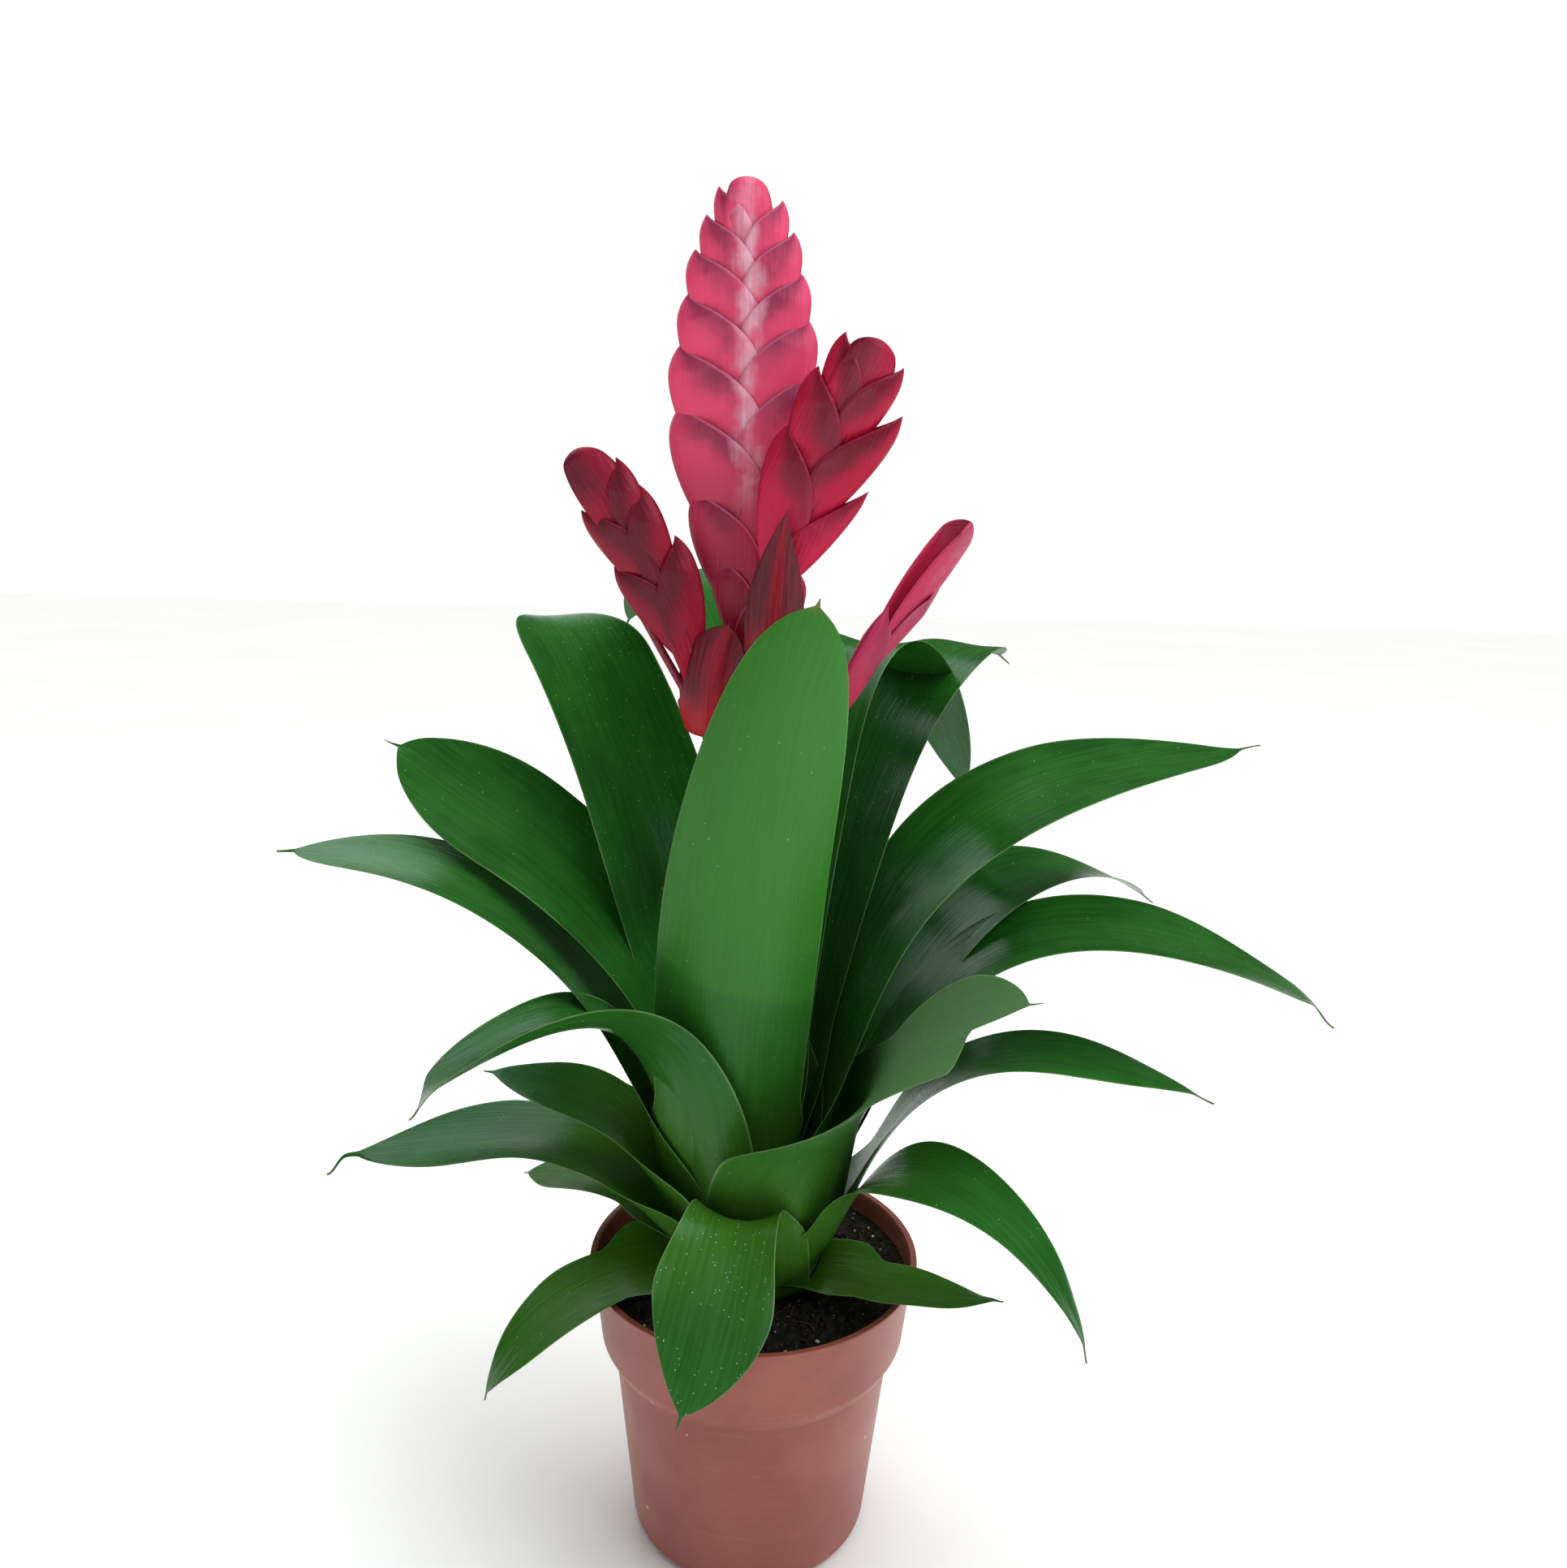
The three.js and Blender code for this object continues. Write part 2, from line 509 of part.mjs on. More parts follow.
for (const [spikeName, spike] of Object.entries(SPIKES)) {
  const material = spikeName === 'main_spike' ? pinkBractMaterial : redBractMaterial;
  spike.bracts.forEach((bract, i) => {
    const shape = solid(bractGeometry(spike, bract));
    const larger = solid(bractGeometry(spike, bract, GAP));
    addPiece(`${spikeName}_bract_${i + 1}`, material, shape, larger);
  });
}

for (const [name, leaf] of Object.entries(BRANCH_BRACTS)) {
  addPiece(name, redBractMaterial, solid(leafGeometry(leaf)), solid(leafGeometry(leaf, GAP)));
}

for (const [name, spec] of Object.entries(LEAVES).reverse()) {
  const leaf = { tuck: FOOT_TUCK, ...spec };
  addPiece(name, leafMaterial, solid(leafGeometry(leaf)), solid(leafGeometry(leaf, GAP)));
}

export default plant;
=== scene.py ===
"""Potted flaming sword bromeliad: strap leaves, a branched flat flower spike, peat and a pot.

Shapes are worked out in millimetres in the plant's own frame (+Z up, origin at the centre of
the pot's base, -Y the front) and put into the meshes in metres.
"""
import math

import bmesh
import bpy
import numpy as np
from bpy.props import FloatProperty, FloatVectorProperty, IntProperty, PointerProperty
from mathutils import Matrix, Vector


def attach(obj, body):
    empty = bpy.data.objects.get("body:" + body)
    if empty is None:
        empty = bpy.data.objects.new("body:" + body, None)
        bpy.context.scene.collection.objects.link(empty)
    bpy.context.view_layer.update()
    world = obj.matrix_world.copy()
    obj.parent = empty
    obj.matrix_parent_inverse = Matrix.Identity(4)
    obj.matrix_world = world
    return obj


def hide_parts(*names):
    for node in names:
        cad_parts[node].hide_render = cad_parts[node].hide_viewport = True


bl_info = {
    "name": "Flaming sword bromeliad",
    "version": (1, 0, 0),
    "blender": (4, 5, 0),
    "location": "3D View > Sidebar > Bromeliad",
    "description": "Builds a potted flaming sword bromeliad round its packed frame",
    "category": "Add Mesh",
}

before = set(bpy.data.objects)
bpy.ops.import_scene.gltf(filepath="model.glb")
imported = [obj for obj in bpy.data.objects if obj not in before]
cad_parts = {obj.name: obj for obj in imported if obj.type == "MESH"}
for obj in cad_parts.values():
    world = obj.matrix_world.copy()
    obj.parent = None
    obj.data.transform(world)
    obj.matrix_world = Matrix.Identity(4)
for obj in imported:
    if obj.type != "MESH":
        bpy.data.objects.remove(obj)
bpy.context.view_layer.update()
BODY = "root"
MM = 0.001

# ------------------------------------------------------------------ driving dimensions (mm)

# Leaves. az: direction the leaf grows in, degrees from +X. r0, z0: foot. e0, e1: climb angle
# at the foot and the tip. a, b: pull of the foot and the tip on the arch. rt, zt: tip.
# w: blade width. clasp: length over which the sheath holds the stem. sheath, neck: width of the
# sheath and of the narrowing above it, as shares of w. twist: turn of the blade, degrees.
# shift, sway: sideways place of the foot and drift of the tip. cup, cup_end: curvature across
# the blade, which changes from the share open of the length on. t1, p, e: shape of the round
# end. tail: share of the length taken by the thin point. hook: droop of that point. wave: ripple
# of the margins. cut: place where the lower half ends. tuck: how far the foot draws in.
# Looks. glow: painted backlight and shade. pale: grey-green film, painted sheen. dust: white dust.
LEAVES = {
    "leaf_front_upright": dict(az=-88, r0=19, z0=108, e0=83, a=100, rt=66, zt=350, e1=84, b=70,
                               w=59, clasp=70, neck=0.95, shift=-11, sway=24, cup=1 / 36,
                               cup_end=1 / 24, t1=0.45, p=3, e=0.58, tail=0.02, glow=1,
                               hook=-2),
    "leaf_back_left_arching": dict(az=131, r0=16, z0=108, e0=82, a=116, rt=150, zt=323, e1=-50,
                                   b=42, w=58, clasp=85, cup=1 / 60, t1=0.84, dust=0.3),
    "leaf_back_right_arching": dict(az=48, r0=16, z0=108, e0=82, a=178, rt=150, zt=313, e1=-32,
                                    b=60, w=44, clasp=85, shift=8, sway=-8, t1=0.76, dust=0.3),
    "leaf_left_wide": dict(az=156, r0=22, z0=106, e0=88, a=134, rt=163, zt=284, e1=28, b=102,
                           w=50, clasp=80, neck=0.7, twist=-34, t1=0.72, p=2.2, e=0.7,
                           hook=5, wave=1),
    "leaf_right_long": dict(az=18, r0=20, z0=106, e0=86, a=172, rt=200, zt=288, e1=4, b=110,
                            w=52, clasp=80, twist=14, t1=0.7, p=1.8, e=0.9, wave=1.4, hook=-2),
    "leaf_left_slender": dict(az=174, r0=22.6, z0=106, e0=80, a=108, rt=176, zt=250, e1=-3, b=85,
                              w=50, clasp=70, t1=0.72, p=2.4, e=0.75, wave=0.8),
    "leaf_right_inner": dict(az=26, r0=21, z0=106, e0=78, a=130, rt=178, zt=220, e1=-34, b=80,
                             w=54, clasp=75, t1=0.6, p=2, e=0.85),
    "leaf_right_drooping": dict(az=-1, r0=24, z0=105, e0=82, a=172, rt=204, zt=206, e1=-26,
                                b=70, w=50, clasp=75, twist=5, t1=0.72, p=2, e=0.8, wave=1,
                                hook=9),
    "leaf_front_right_folded": dict(az=-40, r0=30, z0=104, e0=88, a=88, rt=109, zt=236, e1=30,
                                    b=46, w=36, clasp=100, sheath=2.6, neck=1, twist=50, t1=0.74,
                                    cut=0.8, pale=1),
    "leaf_left_arching": dict(az=-147, r0=29, z0=104, e0=90, a=131, rt=126, zt=196, e1=-22,
                              b=52, w=50, clasp=112, neck=1.2, t1=0.76, p=2.6, e=0.6, tail=0.04,
                              twist=21, cup=1 / 40, cup_end=1 / 60, hook=9),
    "leaf_right_low": dict(az=-15, r0=27.4, z0=103.5, e0=77, a=106, rt=154, zt=190, e1=-18, b=60,
                           w=36, clasp=50, t1=0.6, p=2, e=0.9, wave=1),
    "leaf_left_short": dict(az=178, r0=28.5, z0=103.5, e0=82, a=60, rt=99, zt=174, e1=14, b=40,
                            w=48, clasp=62, sheath=1.6, t1=0.5, p=2, e=0.85),
    "leaf_left_low_long": dict(az=178, r0=29.2, z0=103.5, e0=73, a=65, rt=160, zt=136, e1=-8,
                               b=66, w=50, clasp=50, sheath=1.6, t1=0.55, p=1.7, e=0.9,
                               tail=0.14, hook=12, wave=1.2),
    "leaf_left_lowest": dict(az=160, r0=30, z0=103, e0=60, a=32, rt=98, zt=116, e1=-15, b=35,
                             w=40, clasp=28, t1=0.5, p=2, e=0.85),
    "leaf_right_hanging": dict(az=-35, r0=30.2, z0=102.5, e0=88, a=84, rt=129, zt=118, e1=-74,
                               b=54, w=37, clasp=34, t1=0.4, p=1.8, e=1, wave=1.2),
    "leaf_right_small": dict(az=-32, r0=30.8, z0=102.5, e0=50, a=16, rt=97, zt=124, e1=25, b=30,
                             w=28, clasp=22, t1=0.3, p=1.6, e=1),
    "leaf_front_left_hanging": dict(az=-154, r0=30.8, z0=102.5, e0=52, a=20, rt=101, zt=75,
                                    e1=-66, b=34, w=35, clasp=26, t1=0.35, p=1.9, e=0.85),
    "leaf_front_hanging": dict(az=-101, r0=30, z0=102, e0=84, a=88, rt=79, zt=90, e1=-68, b=34,
                               w=45, clasp=46, sheath=1, neck=0.7, t1=0.5, p=2.1, e=0.8, tail=0.09,
                               shift=4, sway=-12, cup=1 / 13, cup_end=1 / 70, open=0.25, dust=1,
                               hook=3),
    "leaf_rear_right_tall": dict(az=54, r0=16, z0=108, e0=92, a=315, rt=150, zt=250, e1=-55,
                                 b=90, w=38, clasp=85, neck=0.7),
    "leaf_rear_left_tall": dict(az=115, r0=18, z0=108, e0=93, a=250, rt=160, zt=318, e1=-42,
                                b=96, w=38, clasp=80, neck=0.6, shift=-10, sway=10),
    "leaf_rear_middle": dict(az=104, r0=15, z0=108, e0=92, a=262, rt=165, zt=296, e1=-44, b=96,
                             w=40, clasp=85, neck=0.6, shift=-8, sway=8),
    "leaf_rear_right_low": dict(az=80, r0=22, z0=105, e0=80, a=150, rt=185, zt=190, e1=-48,
                                b=90, w=46, clasp=70),
    "leaf_rear_left_low": dict(az=110, r0=25, z0=104, e0=76, a=120, rt=172, zt=165, e1=-45,
                               b=75, w=46, clasp=60),
}
LEAF_DEFAULTS = dict(twist=0, sway=0, shift=0, cup=1 / 70, cup_end=1 / 90, t1=0.62, p=2.4,
                     e=0.72, tail=0.05, sheath=1.3, neck=0.86, clasp=60, open=0.5, cut=2, tuck=0,
                     glow=0, pale=0, dust=0.08, hook=1.5, wave=0.4)
FOOT_TUCK, TUCK_LENGTH = 7, 15  # the clasped feet draw in this much where they meet the peat
LEAF_ROWS, LEAF_COLUMNS = 84, 23
LEAF_EDGE, LEAF_BODY = 0.16, 0.7  # thickness at the margin and what the middle adds to it
GROOVE_DEPTH = 0.05

# Leaf-like bracts at the feet of the side spikes, drawn as leaves.
BRANCH_BRACTS = {
    "branch_bract_front": dict(az=-88, r0=9.5, z0=316, e0=70, a=20, rt=23, zt=373.5, e1=74,
                               b=22, w=24, clasp=14, shift=1.5, sway=3, cup=1 / 12,
                               cup_end=1 / 12, t1=0.3, p=1.5, e=0.95, hook=0, wave=0),
    "branch_bract_left": dict(az=-90, r0=9, z0=300, e0=72, a=16, rt=13, zt=338, e1=86, b=12,
                              w=29, clasp=12, shift=-18, sway=6, cup=1 / 13, cup_end=1 / 14,
                              t1=0.4, p=2, hook=0, wave=0),
}

# Flat flower spikes. foot, tip: ends of the axis. bow: sideways bend of the axis. face:
# direction that the flat side looks in. half, rise: half thickness at a bract's foot and its
# growth per millimetre. bracts: side (-1 left, 1 right, 0 the last one), foot height,
# length, reach and, for a finger-like one, its slimness.
SPIKES = {
    "main_spike": dict(foot=(-5, 0, 272), tip=(-9, 0, 472.5), bow=0, face=-90, half=2.2,
                       rise=0.085, slot="pink_bract", bracts=[
        (1, 46, 36, 19), (-1, 50, 38, 13), (-1, 60, 48, 20), (1, 68, 55, 21),
        (-1, 78, 56, 26), (1, 88, 56, 22.5), (-1, 98, 54, 26), (1, 108, 52, 22),
        (-1, 117, 50, 23), (1, 126, 47, 19.8), (-1, 135, 45, 20), (1, 142, 43, 16.8),
        (-1, 150, 40, 15.6), (1, 157, 37, 12.6), (-1, 164, 34, 11), (0, 170, 30.5, 7.2)]),
    "right_spike": dict(foot=(-5, -9, 338), tip=(34.5, -23, 429), bow=-1, face=-86, half=2,
                        rise=0.08, slot="red_bract", bracts=[
        (1, 7, 46, 18.5, 1), (-1, 12, 49, 17), (1, 26, 51.5, 18.5, 0.5),
        (-1, 34, 46, 16), (1, 46, 44, 12), (-1, 54, 38, 12.5), (0, 62, 32, 8.5)]),
    "left_spike": dict(foot=(-19, -6, 303), tip=(-61, -12, 391), bow=5, face=-92, half=2,
                       rise=0.08, slot="red_bract", bracts=[
        (1, 14, 47, 14.5), (-1, 20, 40, 12), (1, 35, 45, 12), (-1, 38, 42, 12),
        (1, 50, 40, 10.5), (0, 60, 37, 8)]),
    "thin_spike": dict(foot=(18, -2, 300), tip=(66, 6, 371.5), bow=-1.5, face=-42, half=2,
                       rise=0.05, slot="red_bract", bracts=[
        (-1, 2, 46, 9), (1, 16, 50, 8), (0, 32, 54, 6.5)]),
}
BRACT_ROWS, BRACT_COLUMNS = 44, 27
BRACT_WALL = 0.45

# Finish of each spike's bracts, with heights and depths in metres. core: share of the lobe's
# shade that is left on the axis. lobe, haze: shaded lobe and its soft patches. band: brighter
# rest. band_at: depths below the free margin where the lobe starts and ends its fade. deep,
# deep_at, deep_share: foot of the spike. ridge_highlight, ridge_highlight_at,
# ridge_highlight_share: painted highlight along the middle. rim: dark keel and tip. edge:
# painted highlight along the free margin.
BRACT_PAINTS = {
    "main_spike": dict(core=0.2, lobe="A23258", haze="C4587E", band="FF5480",
                       band_at=(0.004, 0.018), deep="A00C34", deep_at=(0.14, 0.06),
                       deep_share=0.85, ridge_highlight="FFD0E6", ridge_highlight_at=(0.09, 0.13),
                       ridge_highlight_share=0.9, rim="7A1838", edge="F49AB8"),
    "right_spike": dict(core=1.0, lobe="7A0C28", haze="941634", band="D01040",
                        band_at=(0.008, 0.022), deep="FF2660", deep_at=(0.055, 0.015),
                        deep_share=0.85, ridge_highlight="C64866", ridge_highlight_at=(0.02, 0.05),
                        ridge_highlight_share=0.3, rim="5A0C1E", edge="D63A5E"),
    "left_spike": dict(core=1.0, lobe="6A1028", haze="801A34", band="AA1034",
                       band_at=(0.009, 0.024), deep="CC1238", deep_at=(0.045, 0.01),
                       deep_share=0.8, ridge_highlight="AC344E", ridge_highlight_at=(0.02, 0.05),
                       ridge_highlight_share=0.15, rim="4A0C18", edge="B43450"),
    "thin_spike": dict(core=1.0, lobe="B02C54", haze="CC5078", band="DC3C68",
                       band_at=(0.006, 0.02), deep="D81038", deep_at=(0.03, 0.0),
                       deep_share=0.7, ridge_highlight="EE86A0", ridge_highlight_at=(0.02, 0.05),
                       ridge_highlight_share=0.45, rim="6E0E24", edge="EE7A9C"),
}

# Stem: crown core, flower stalk, and the axes of the spikes, as routes and radii.
CORE_ROUTE = [(0, 0, 89), (0, 0, 100), (0, 0, 122), (0, 0, 138)]
CORE_HEIGHTS, CORE_RADII = (89, 93, 112, 138), (5, 8.5, 9, 4)
STALK_RADIUS, STALK_SWELL, BRANCH_RADII = 3.6, 0.25, (1.9, 0.9)
STALK_ROUTE = [(0, 0, 104), (0, 0, 190), (-5, 0, 272), (-5.8, 0, 312)]
BRANCH_ROUTES = [
    [(-5.8, 0, 308), (-6.6, 0, 352), (-8.4, 0, 442)],
    [(-5.4, 0, 318), (-5, -7, 336), (9, -14, 372), (21, -19, 402)],
    [(-4, 0, 262), (-12, -4, 284), (-22, -6, 306), (-44, -9, 346), (-54, -11, 372)],
    [(-3.5, 0, 250), (7, -1, 274), (18.5, -2, 300), (36, 1, 326), (54, 4, 352)],
]

# Pot: outer outline, foot to rim, as radius and height. The foot is hollowed below.
POT_OUTLINE = [(42, 0), (44, 2.5), (51, 71.5), (53.2, 73), (55.8, 78), (58.6, 104.6),
               (60, 105.2), (60, 106.5)]
POT_LIP = (57.8, 106.5)
POT_HOLLOW = [(0, 0.6), (30, 0.6), (33, 0)]
POT_WALL, POT_FLOOR, POT_ROUNDING, POT_SIDES = 1.4, 2.2, 0.9, 192
DRAIN_NOTCHES, DRAIN_WIDTH, DRAIN_DEPTH, DRAIN_HEIGHT = 8, 9, 3.2, 2.4
SOIL_LEVEL, SOIL_RADIUS, SOIL_CROWN = 99.4, 56.3, 2.2
SOIL_OUTLINE = [(0, 2.6), (41.5, 2.6), (49.2, 71.5), (54.2, 80)]
SOIL_RINGS, SOIL_SIDES = 96, 320

CAMERA_PLACE = (6.4, -409, 375)
CAMERA_DOWN, CAMERA_ROLL = math.radians(12.7), math.radians(-1.5)
CAMERA_LENS, CAMERA_SENSOR = 28.42, 36
FLOOR_REACH = 4  # metres


# ------------------------------------------------------------------ small maths


def smooth(low, high, x):
    """0 below low, 1 above high and q*q*(3-2q) of the share q between them."""
    q = np.clip((x - low) / (high - low), 0, 1)
    return q * q * (3 - 2 * q)


def cubic(points, t):
    """Point of the cubic Bezier curve with these four control points, for each t."""
    p, t = np.asarray(points, float), np.asarray(t)[:, None]
    s = 1 - t
    return s**3 * p[0] + 3 * s * s * t * p[1] + 3 * s * t * t * p[2] + t**3 * p[3]


def unit(v):
    """Vectors of length one in the same directions."""
    return np.asarray(v, float) / np.linalg.norm(v, axis=-1, keepdims=True)


def lattice_noise(x, y, step, seed):
    """Value noise: random numbers on a square lattice of that step, joined smoothly."""
    table = np.random.default_rng(seed).random((64, 64))
    u, v = np.asarray(x) / step, np.asarray(y) / step
    i, j = np.floor(u).astype(int), np.floor(v).astype(int)
    f, g = smooth(0, 1, u - i), smooth(0, 1, v - j)
    corner = lambda di, dj: table[(i + di) % 64, (j + dj) % 64]
    low = corner(0, 0) * (1 - f) + corner(1, 0) * f
    high = corner(0, 1) * (1 - f) + corner(1, 1) * f
    return (low * (1 - g) + high * g) * 2 - 1


# ------------------------------------------------------------------ meshes


def grid_faces(rows, columns, start=0, closed=False):
    """Quads of a grid of rows x columns points; closed joins its last column to the first."""
    index = start + np.arange(rows * columns).reshape(rows, columns)
    if closed:
        index = np.concatenate([index, index[:, :1]], 1)
    quads = [index[:-1, :-1], index[:-1, 1:], index[1:, 1:], index[1:, :-1]]
    return np.stack(quads, -1).reshape(-1, 4)


def make_piece(name, points, faces, slot, material, attributes=None, smooth_shade=True):
    """Mesh object at the origin from points in mm and faces, riding on the one body."""
    mesh = bpy.data.meshes.new(name)
    mesh.from_pydata((np.asarray(points) * MM).tolist(), [], [list(f) for f in faces])
    for key, values in (attributes or {}).items():
        layer = mesh.attributes.new(key, "FLOAT_VECTOR", "POINT")
        layer.data.foreach_set("vector", np.asarray(values, np.float32).ravel())
    mesh.validate()
    mesh.polygons.foreach_set("use_smooth", [smooth_shade] * len(mesh.polygons))
    mesh.update()
    piece = bpy.data.objects.new(name, mesh)
    bpy.context.collection.objects.link(piece)
    mesh.materials.append(material)
    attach(piece, BODY)
    return piece


def closed_sheet(top, under):
    """Points and faces of a closed sheet from its upper and under grid of points."""
    rows, columns = top.shape[:2]
    count = rows * columns
    points = np.concatenate([top.reshape(-1, 3), under.reshape(-1, 3)])
    upper = grid_faces(rows, columns)
    lower = grid_faces(rows, columns, count)[:, ::-1]
    index = np.arange(count).reshape(rows, columns)
    rim = np.concatenate([index[0, :-1], index[:-1, -1], index[-1, :0:-1], index[:0:-1, 0]])
    after = np.roll(rim, -1)
    wall = np.stack([after, rim, rim + count, after + count], -1)
    return points, np.concatenate([upper, lower, wall])


# ------------------------------------------------------------------ leaves


def leaf_line(leaf):
    """Centre line in the leaf's upright plane: a cubic Bezier curve resampled in equal steps."""
    e0, e1 = math.radians(leaf["e0"]), math.radians(leaf["e1"])
    foot, tip = np.array([leaf["r0"], leaf["z0"]]), np.array([leaf["rt"], leaf["zt"]])
    controls = [foot, foot + leaf["a"] * np.array([math.cos(e0), math.sin(e0)]),
                tip - leaf["b"] * np.array([math.cos(e1), math.sin(e1)]), tip]
    fine = cubic(controls, np.linspace(0, 1, 400))
    along = np.r_[0, np.cumsum(np.hypot(*np.diff(fine, axis=0).T))]
    t = 1 - (1 - np.linspace(0, 1, LEAF_ROWS)) ** 1.25
    r, z = (np.interp(t * along[-1], along, fine[:, k]) for k in (0, 1))
    return t, r, z, along[-1]


def leaf_width(leaf, t, along):
    """Width along the leaf: a broad sheath up to clasp, the neck, the full blade, and a round
    end (1 - q^p)^e of it with a short point added as a root of squares."""
    held = leaf["clasp"]
    body = leaf["neck"] + (leaf["sheath"] - leaf["neck"]) * smooth(held, 0.55 * held, along)
    body = body + (1 - leaf["neck"]) * smooth(0.9 * held, 0.9 * held + 0.3 * along[-1], along)
    end = 1 - 0.6 * leaf["tail"]
    q = np.clip((t - leaf["t1"]) / (end - leaf["t1"]), 0, 1)
    body = body * (1 - q ** leaf["p"]) ** leaf["e"]
    point = np.minimum(0.1, 0.055 / leaf["tail"] * (1 - t)) * smooth(0.84, 0.94, t)
    return np.maximum(leaf["w"] * np.hypot(body, point), 0.25)


def leaf_surface(leaf, seed):
    """Grid of a leaf's middle surface, its normals and thickness, and t, across, along.

    The centre line lies in the upright plane at azimuth az and drifts sideways by sway t^3,
    and the blade turns about it by up to twist.
    Across it the blade is an arc of curvature k: sideways sin(k a)/k, upwards (1-cos(k a))/k.
    k is 1/r in the sheath, which so lies round the stem, and shallow along the blade."""
    t, r, z, length = leaf_line(leaf)
    along = t * length
    r = r - leaf["tuck"] * np.exp(-((along / TUCK_LENGTH) ** 2))
    az = math.radians(leaf["az"])
    outward = np.array([math.cos(az), math.sin(az), 0])
    across = np.array([-math.sin(az), math.cos(az), 0])
    up = np.array([0, 0, 1.0])
    side_shift = leaf["shift"] + leaf["sway"] * t**3
    middle = r[:, None] * outward + side_shift[:, None] * across + z[:, None] * up
    slope = np.arctan2(np.gradient(z), np.gradient(r))
    droop = 0.6 * leaf["hook"] * smooth(0.93, 1, t) ** 1.5
    flat_normal = -np.sin(slope)[:, None] * outward + np.cos(slope)[:, None] * up
    middle = middle - droop[:, None] * flat_normal
    tangent = unit(np.gradient(middle, axis=0))
    normal = unit(flat_normal - (flat_normal * tangent).sum(1, keepdims=True) * tangent)
    side = np.cross(normal, tangent)
    turn = math.radians(leaf["twist"]) * smooth(0.15, 1, t)
    c, s = np.cos(turn)[:, None], np.sin(turn)[:, None]
    side, normal = side * c + normal * s, normal * c - side * s
    width = leaf_width(leaf, t, along)
    wrap = (1 / r - leaf["cup"]) * np.exp(-((along / leaf["clasp"]) ** 4))
    flatten = smooth(leaf["open"], leaf["open"] + 0.5, t)
    bend = (leaf["cup"] + wrap + (leaf["cup_end"] - leaf["cup"]) * flatten)[:, None]
    v = np.sin(np.linspace(-1, 1, LEAF_COLUMNS) * math.pi / 2)
    lower = 1 - 0.8 * smooth(leaf["cut"], leaf["cut"] + 0.04, t)[:, None] * (v < 0)[None]
    reach = v[None] * width[:, None] / 2 * lower
    angle = bend * reach
    place = (middle[:, None] + (np.sin(angle) / bend)[..., None] * side[:, None]
             + ((1 - np.cos(angle)) / bend)[..., None] * normal[:, None])
    face = np.cos(angle)[..., None] * normal[:, None] - np.sin(angle)[..., None] * side[:, None]
    rng = np.random.default_rng(seed)
    phase = rng.random(4) * 2 * math.pi
    open_blade = smooth(0.2, 0.5, t)[:, None] * (1 - 0.6 * smooth(0.85, 1, t))[:, None]
    ripple = np.sin(9 * t[:, None] + phase[0] + np.where(v > 0, phase[1], 0)[None])
    ripple = ripple + 0.5 * np.sin(17 * t[:, None] + phase[2] + 2 * v[None])
    place = place + (leaf["wave"] * ripple * v[None] ** 2 * open_blade)[..., None] * face
    grooves = GROOVE_DEPTH * np.cos(v * 34 + phase[3])[None] * open_blade
    place = place + grooves[..., None] * face
    thick = LEAF_EDGE + LEAF_BODY * (1 - v[None] ** 6) * (1 - 0.5 * smooth(0.6, 1, t))[:, None]
    return place, face, thick, t, reach, along, v


def build_leaf(name, spec, slot, material):
    """Closed leaf piece with its own coordinates: blade = (across m, along m, side), spot =
    (v, t, tone) and looks = (glow, pale, dust)."""
    leaf = {**LEAF_DEFAULTS, **spec}
    seed = sum(ord(c) * (i + 1) for i, c in enumerate(name))
    place, face, thick, t, reach, along, v = leaf_surface(leaf, seed)
    offset = face * thick[..., None] / 2
    points, faces = closed_sheet(place + offset, place - offset)
    shape = reach.shape
    blade = [np.stack([reach * MM, np.broadcast_to(along[:, None] * MM, shape),
                       np.full(shape, side)], -1).reshape(-1, 3) for side in (1.0, -1.0)]
    tone = np.random.default_rng(seed + 7).random()
    spot = np.stack([np.broadcast_to(v[None], shape), np.broadcast_to(t[:, None], shape),
                     np.full(shape, tone)], -1).reshape(-1, 3)
    looks = np.tile([leaf["glow"], leaf["pale"], leaf["dust"]], (2 * len(spot), 1))
    attributes = {"blade": np.concatenate(blade), "spot": np.tile(spot, (2, 1)), "looks": looks}
    if face_is_under(place, face):
        faces = faces[:, ::-1]
    piece = make_piece(name, points, faces, slot, material, attributes)
    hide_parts(name)


def face_is_under(place, face):
    """True if the grid's own winding points away from its upper side."""
    row, column = place.shape[0] // 2, place.shape[1] // 2
    a = place[row, column + 1] - place[row, column]
    b = place[row + 1, column] - place[row, column]
    return float(np.cross(a, b) @ face[row, column]) < 0


# ------------------------------------------------------------------ bracts


def spike_frame(spike):
    """Foot, direction along the axis, across it and out of the flat side, and the length."""
    foot, tip = np.array(spike["foot"], float), np.array(spike["tip"], float)
    along = unit(tip - foot)
    turn = math.radians(spike["face"])
    face = np.array([math.cos(turn), math.sin(turn), 0])
    face = unit(face - (face @ along) * along)
    return foot, along, np.cross(along, face), face, np.linalg.norm(tip - foot)


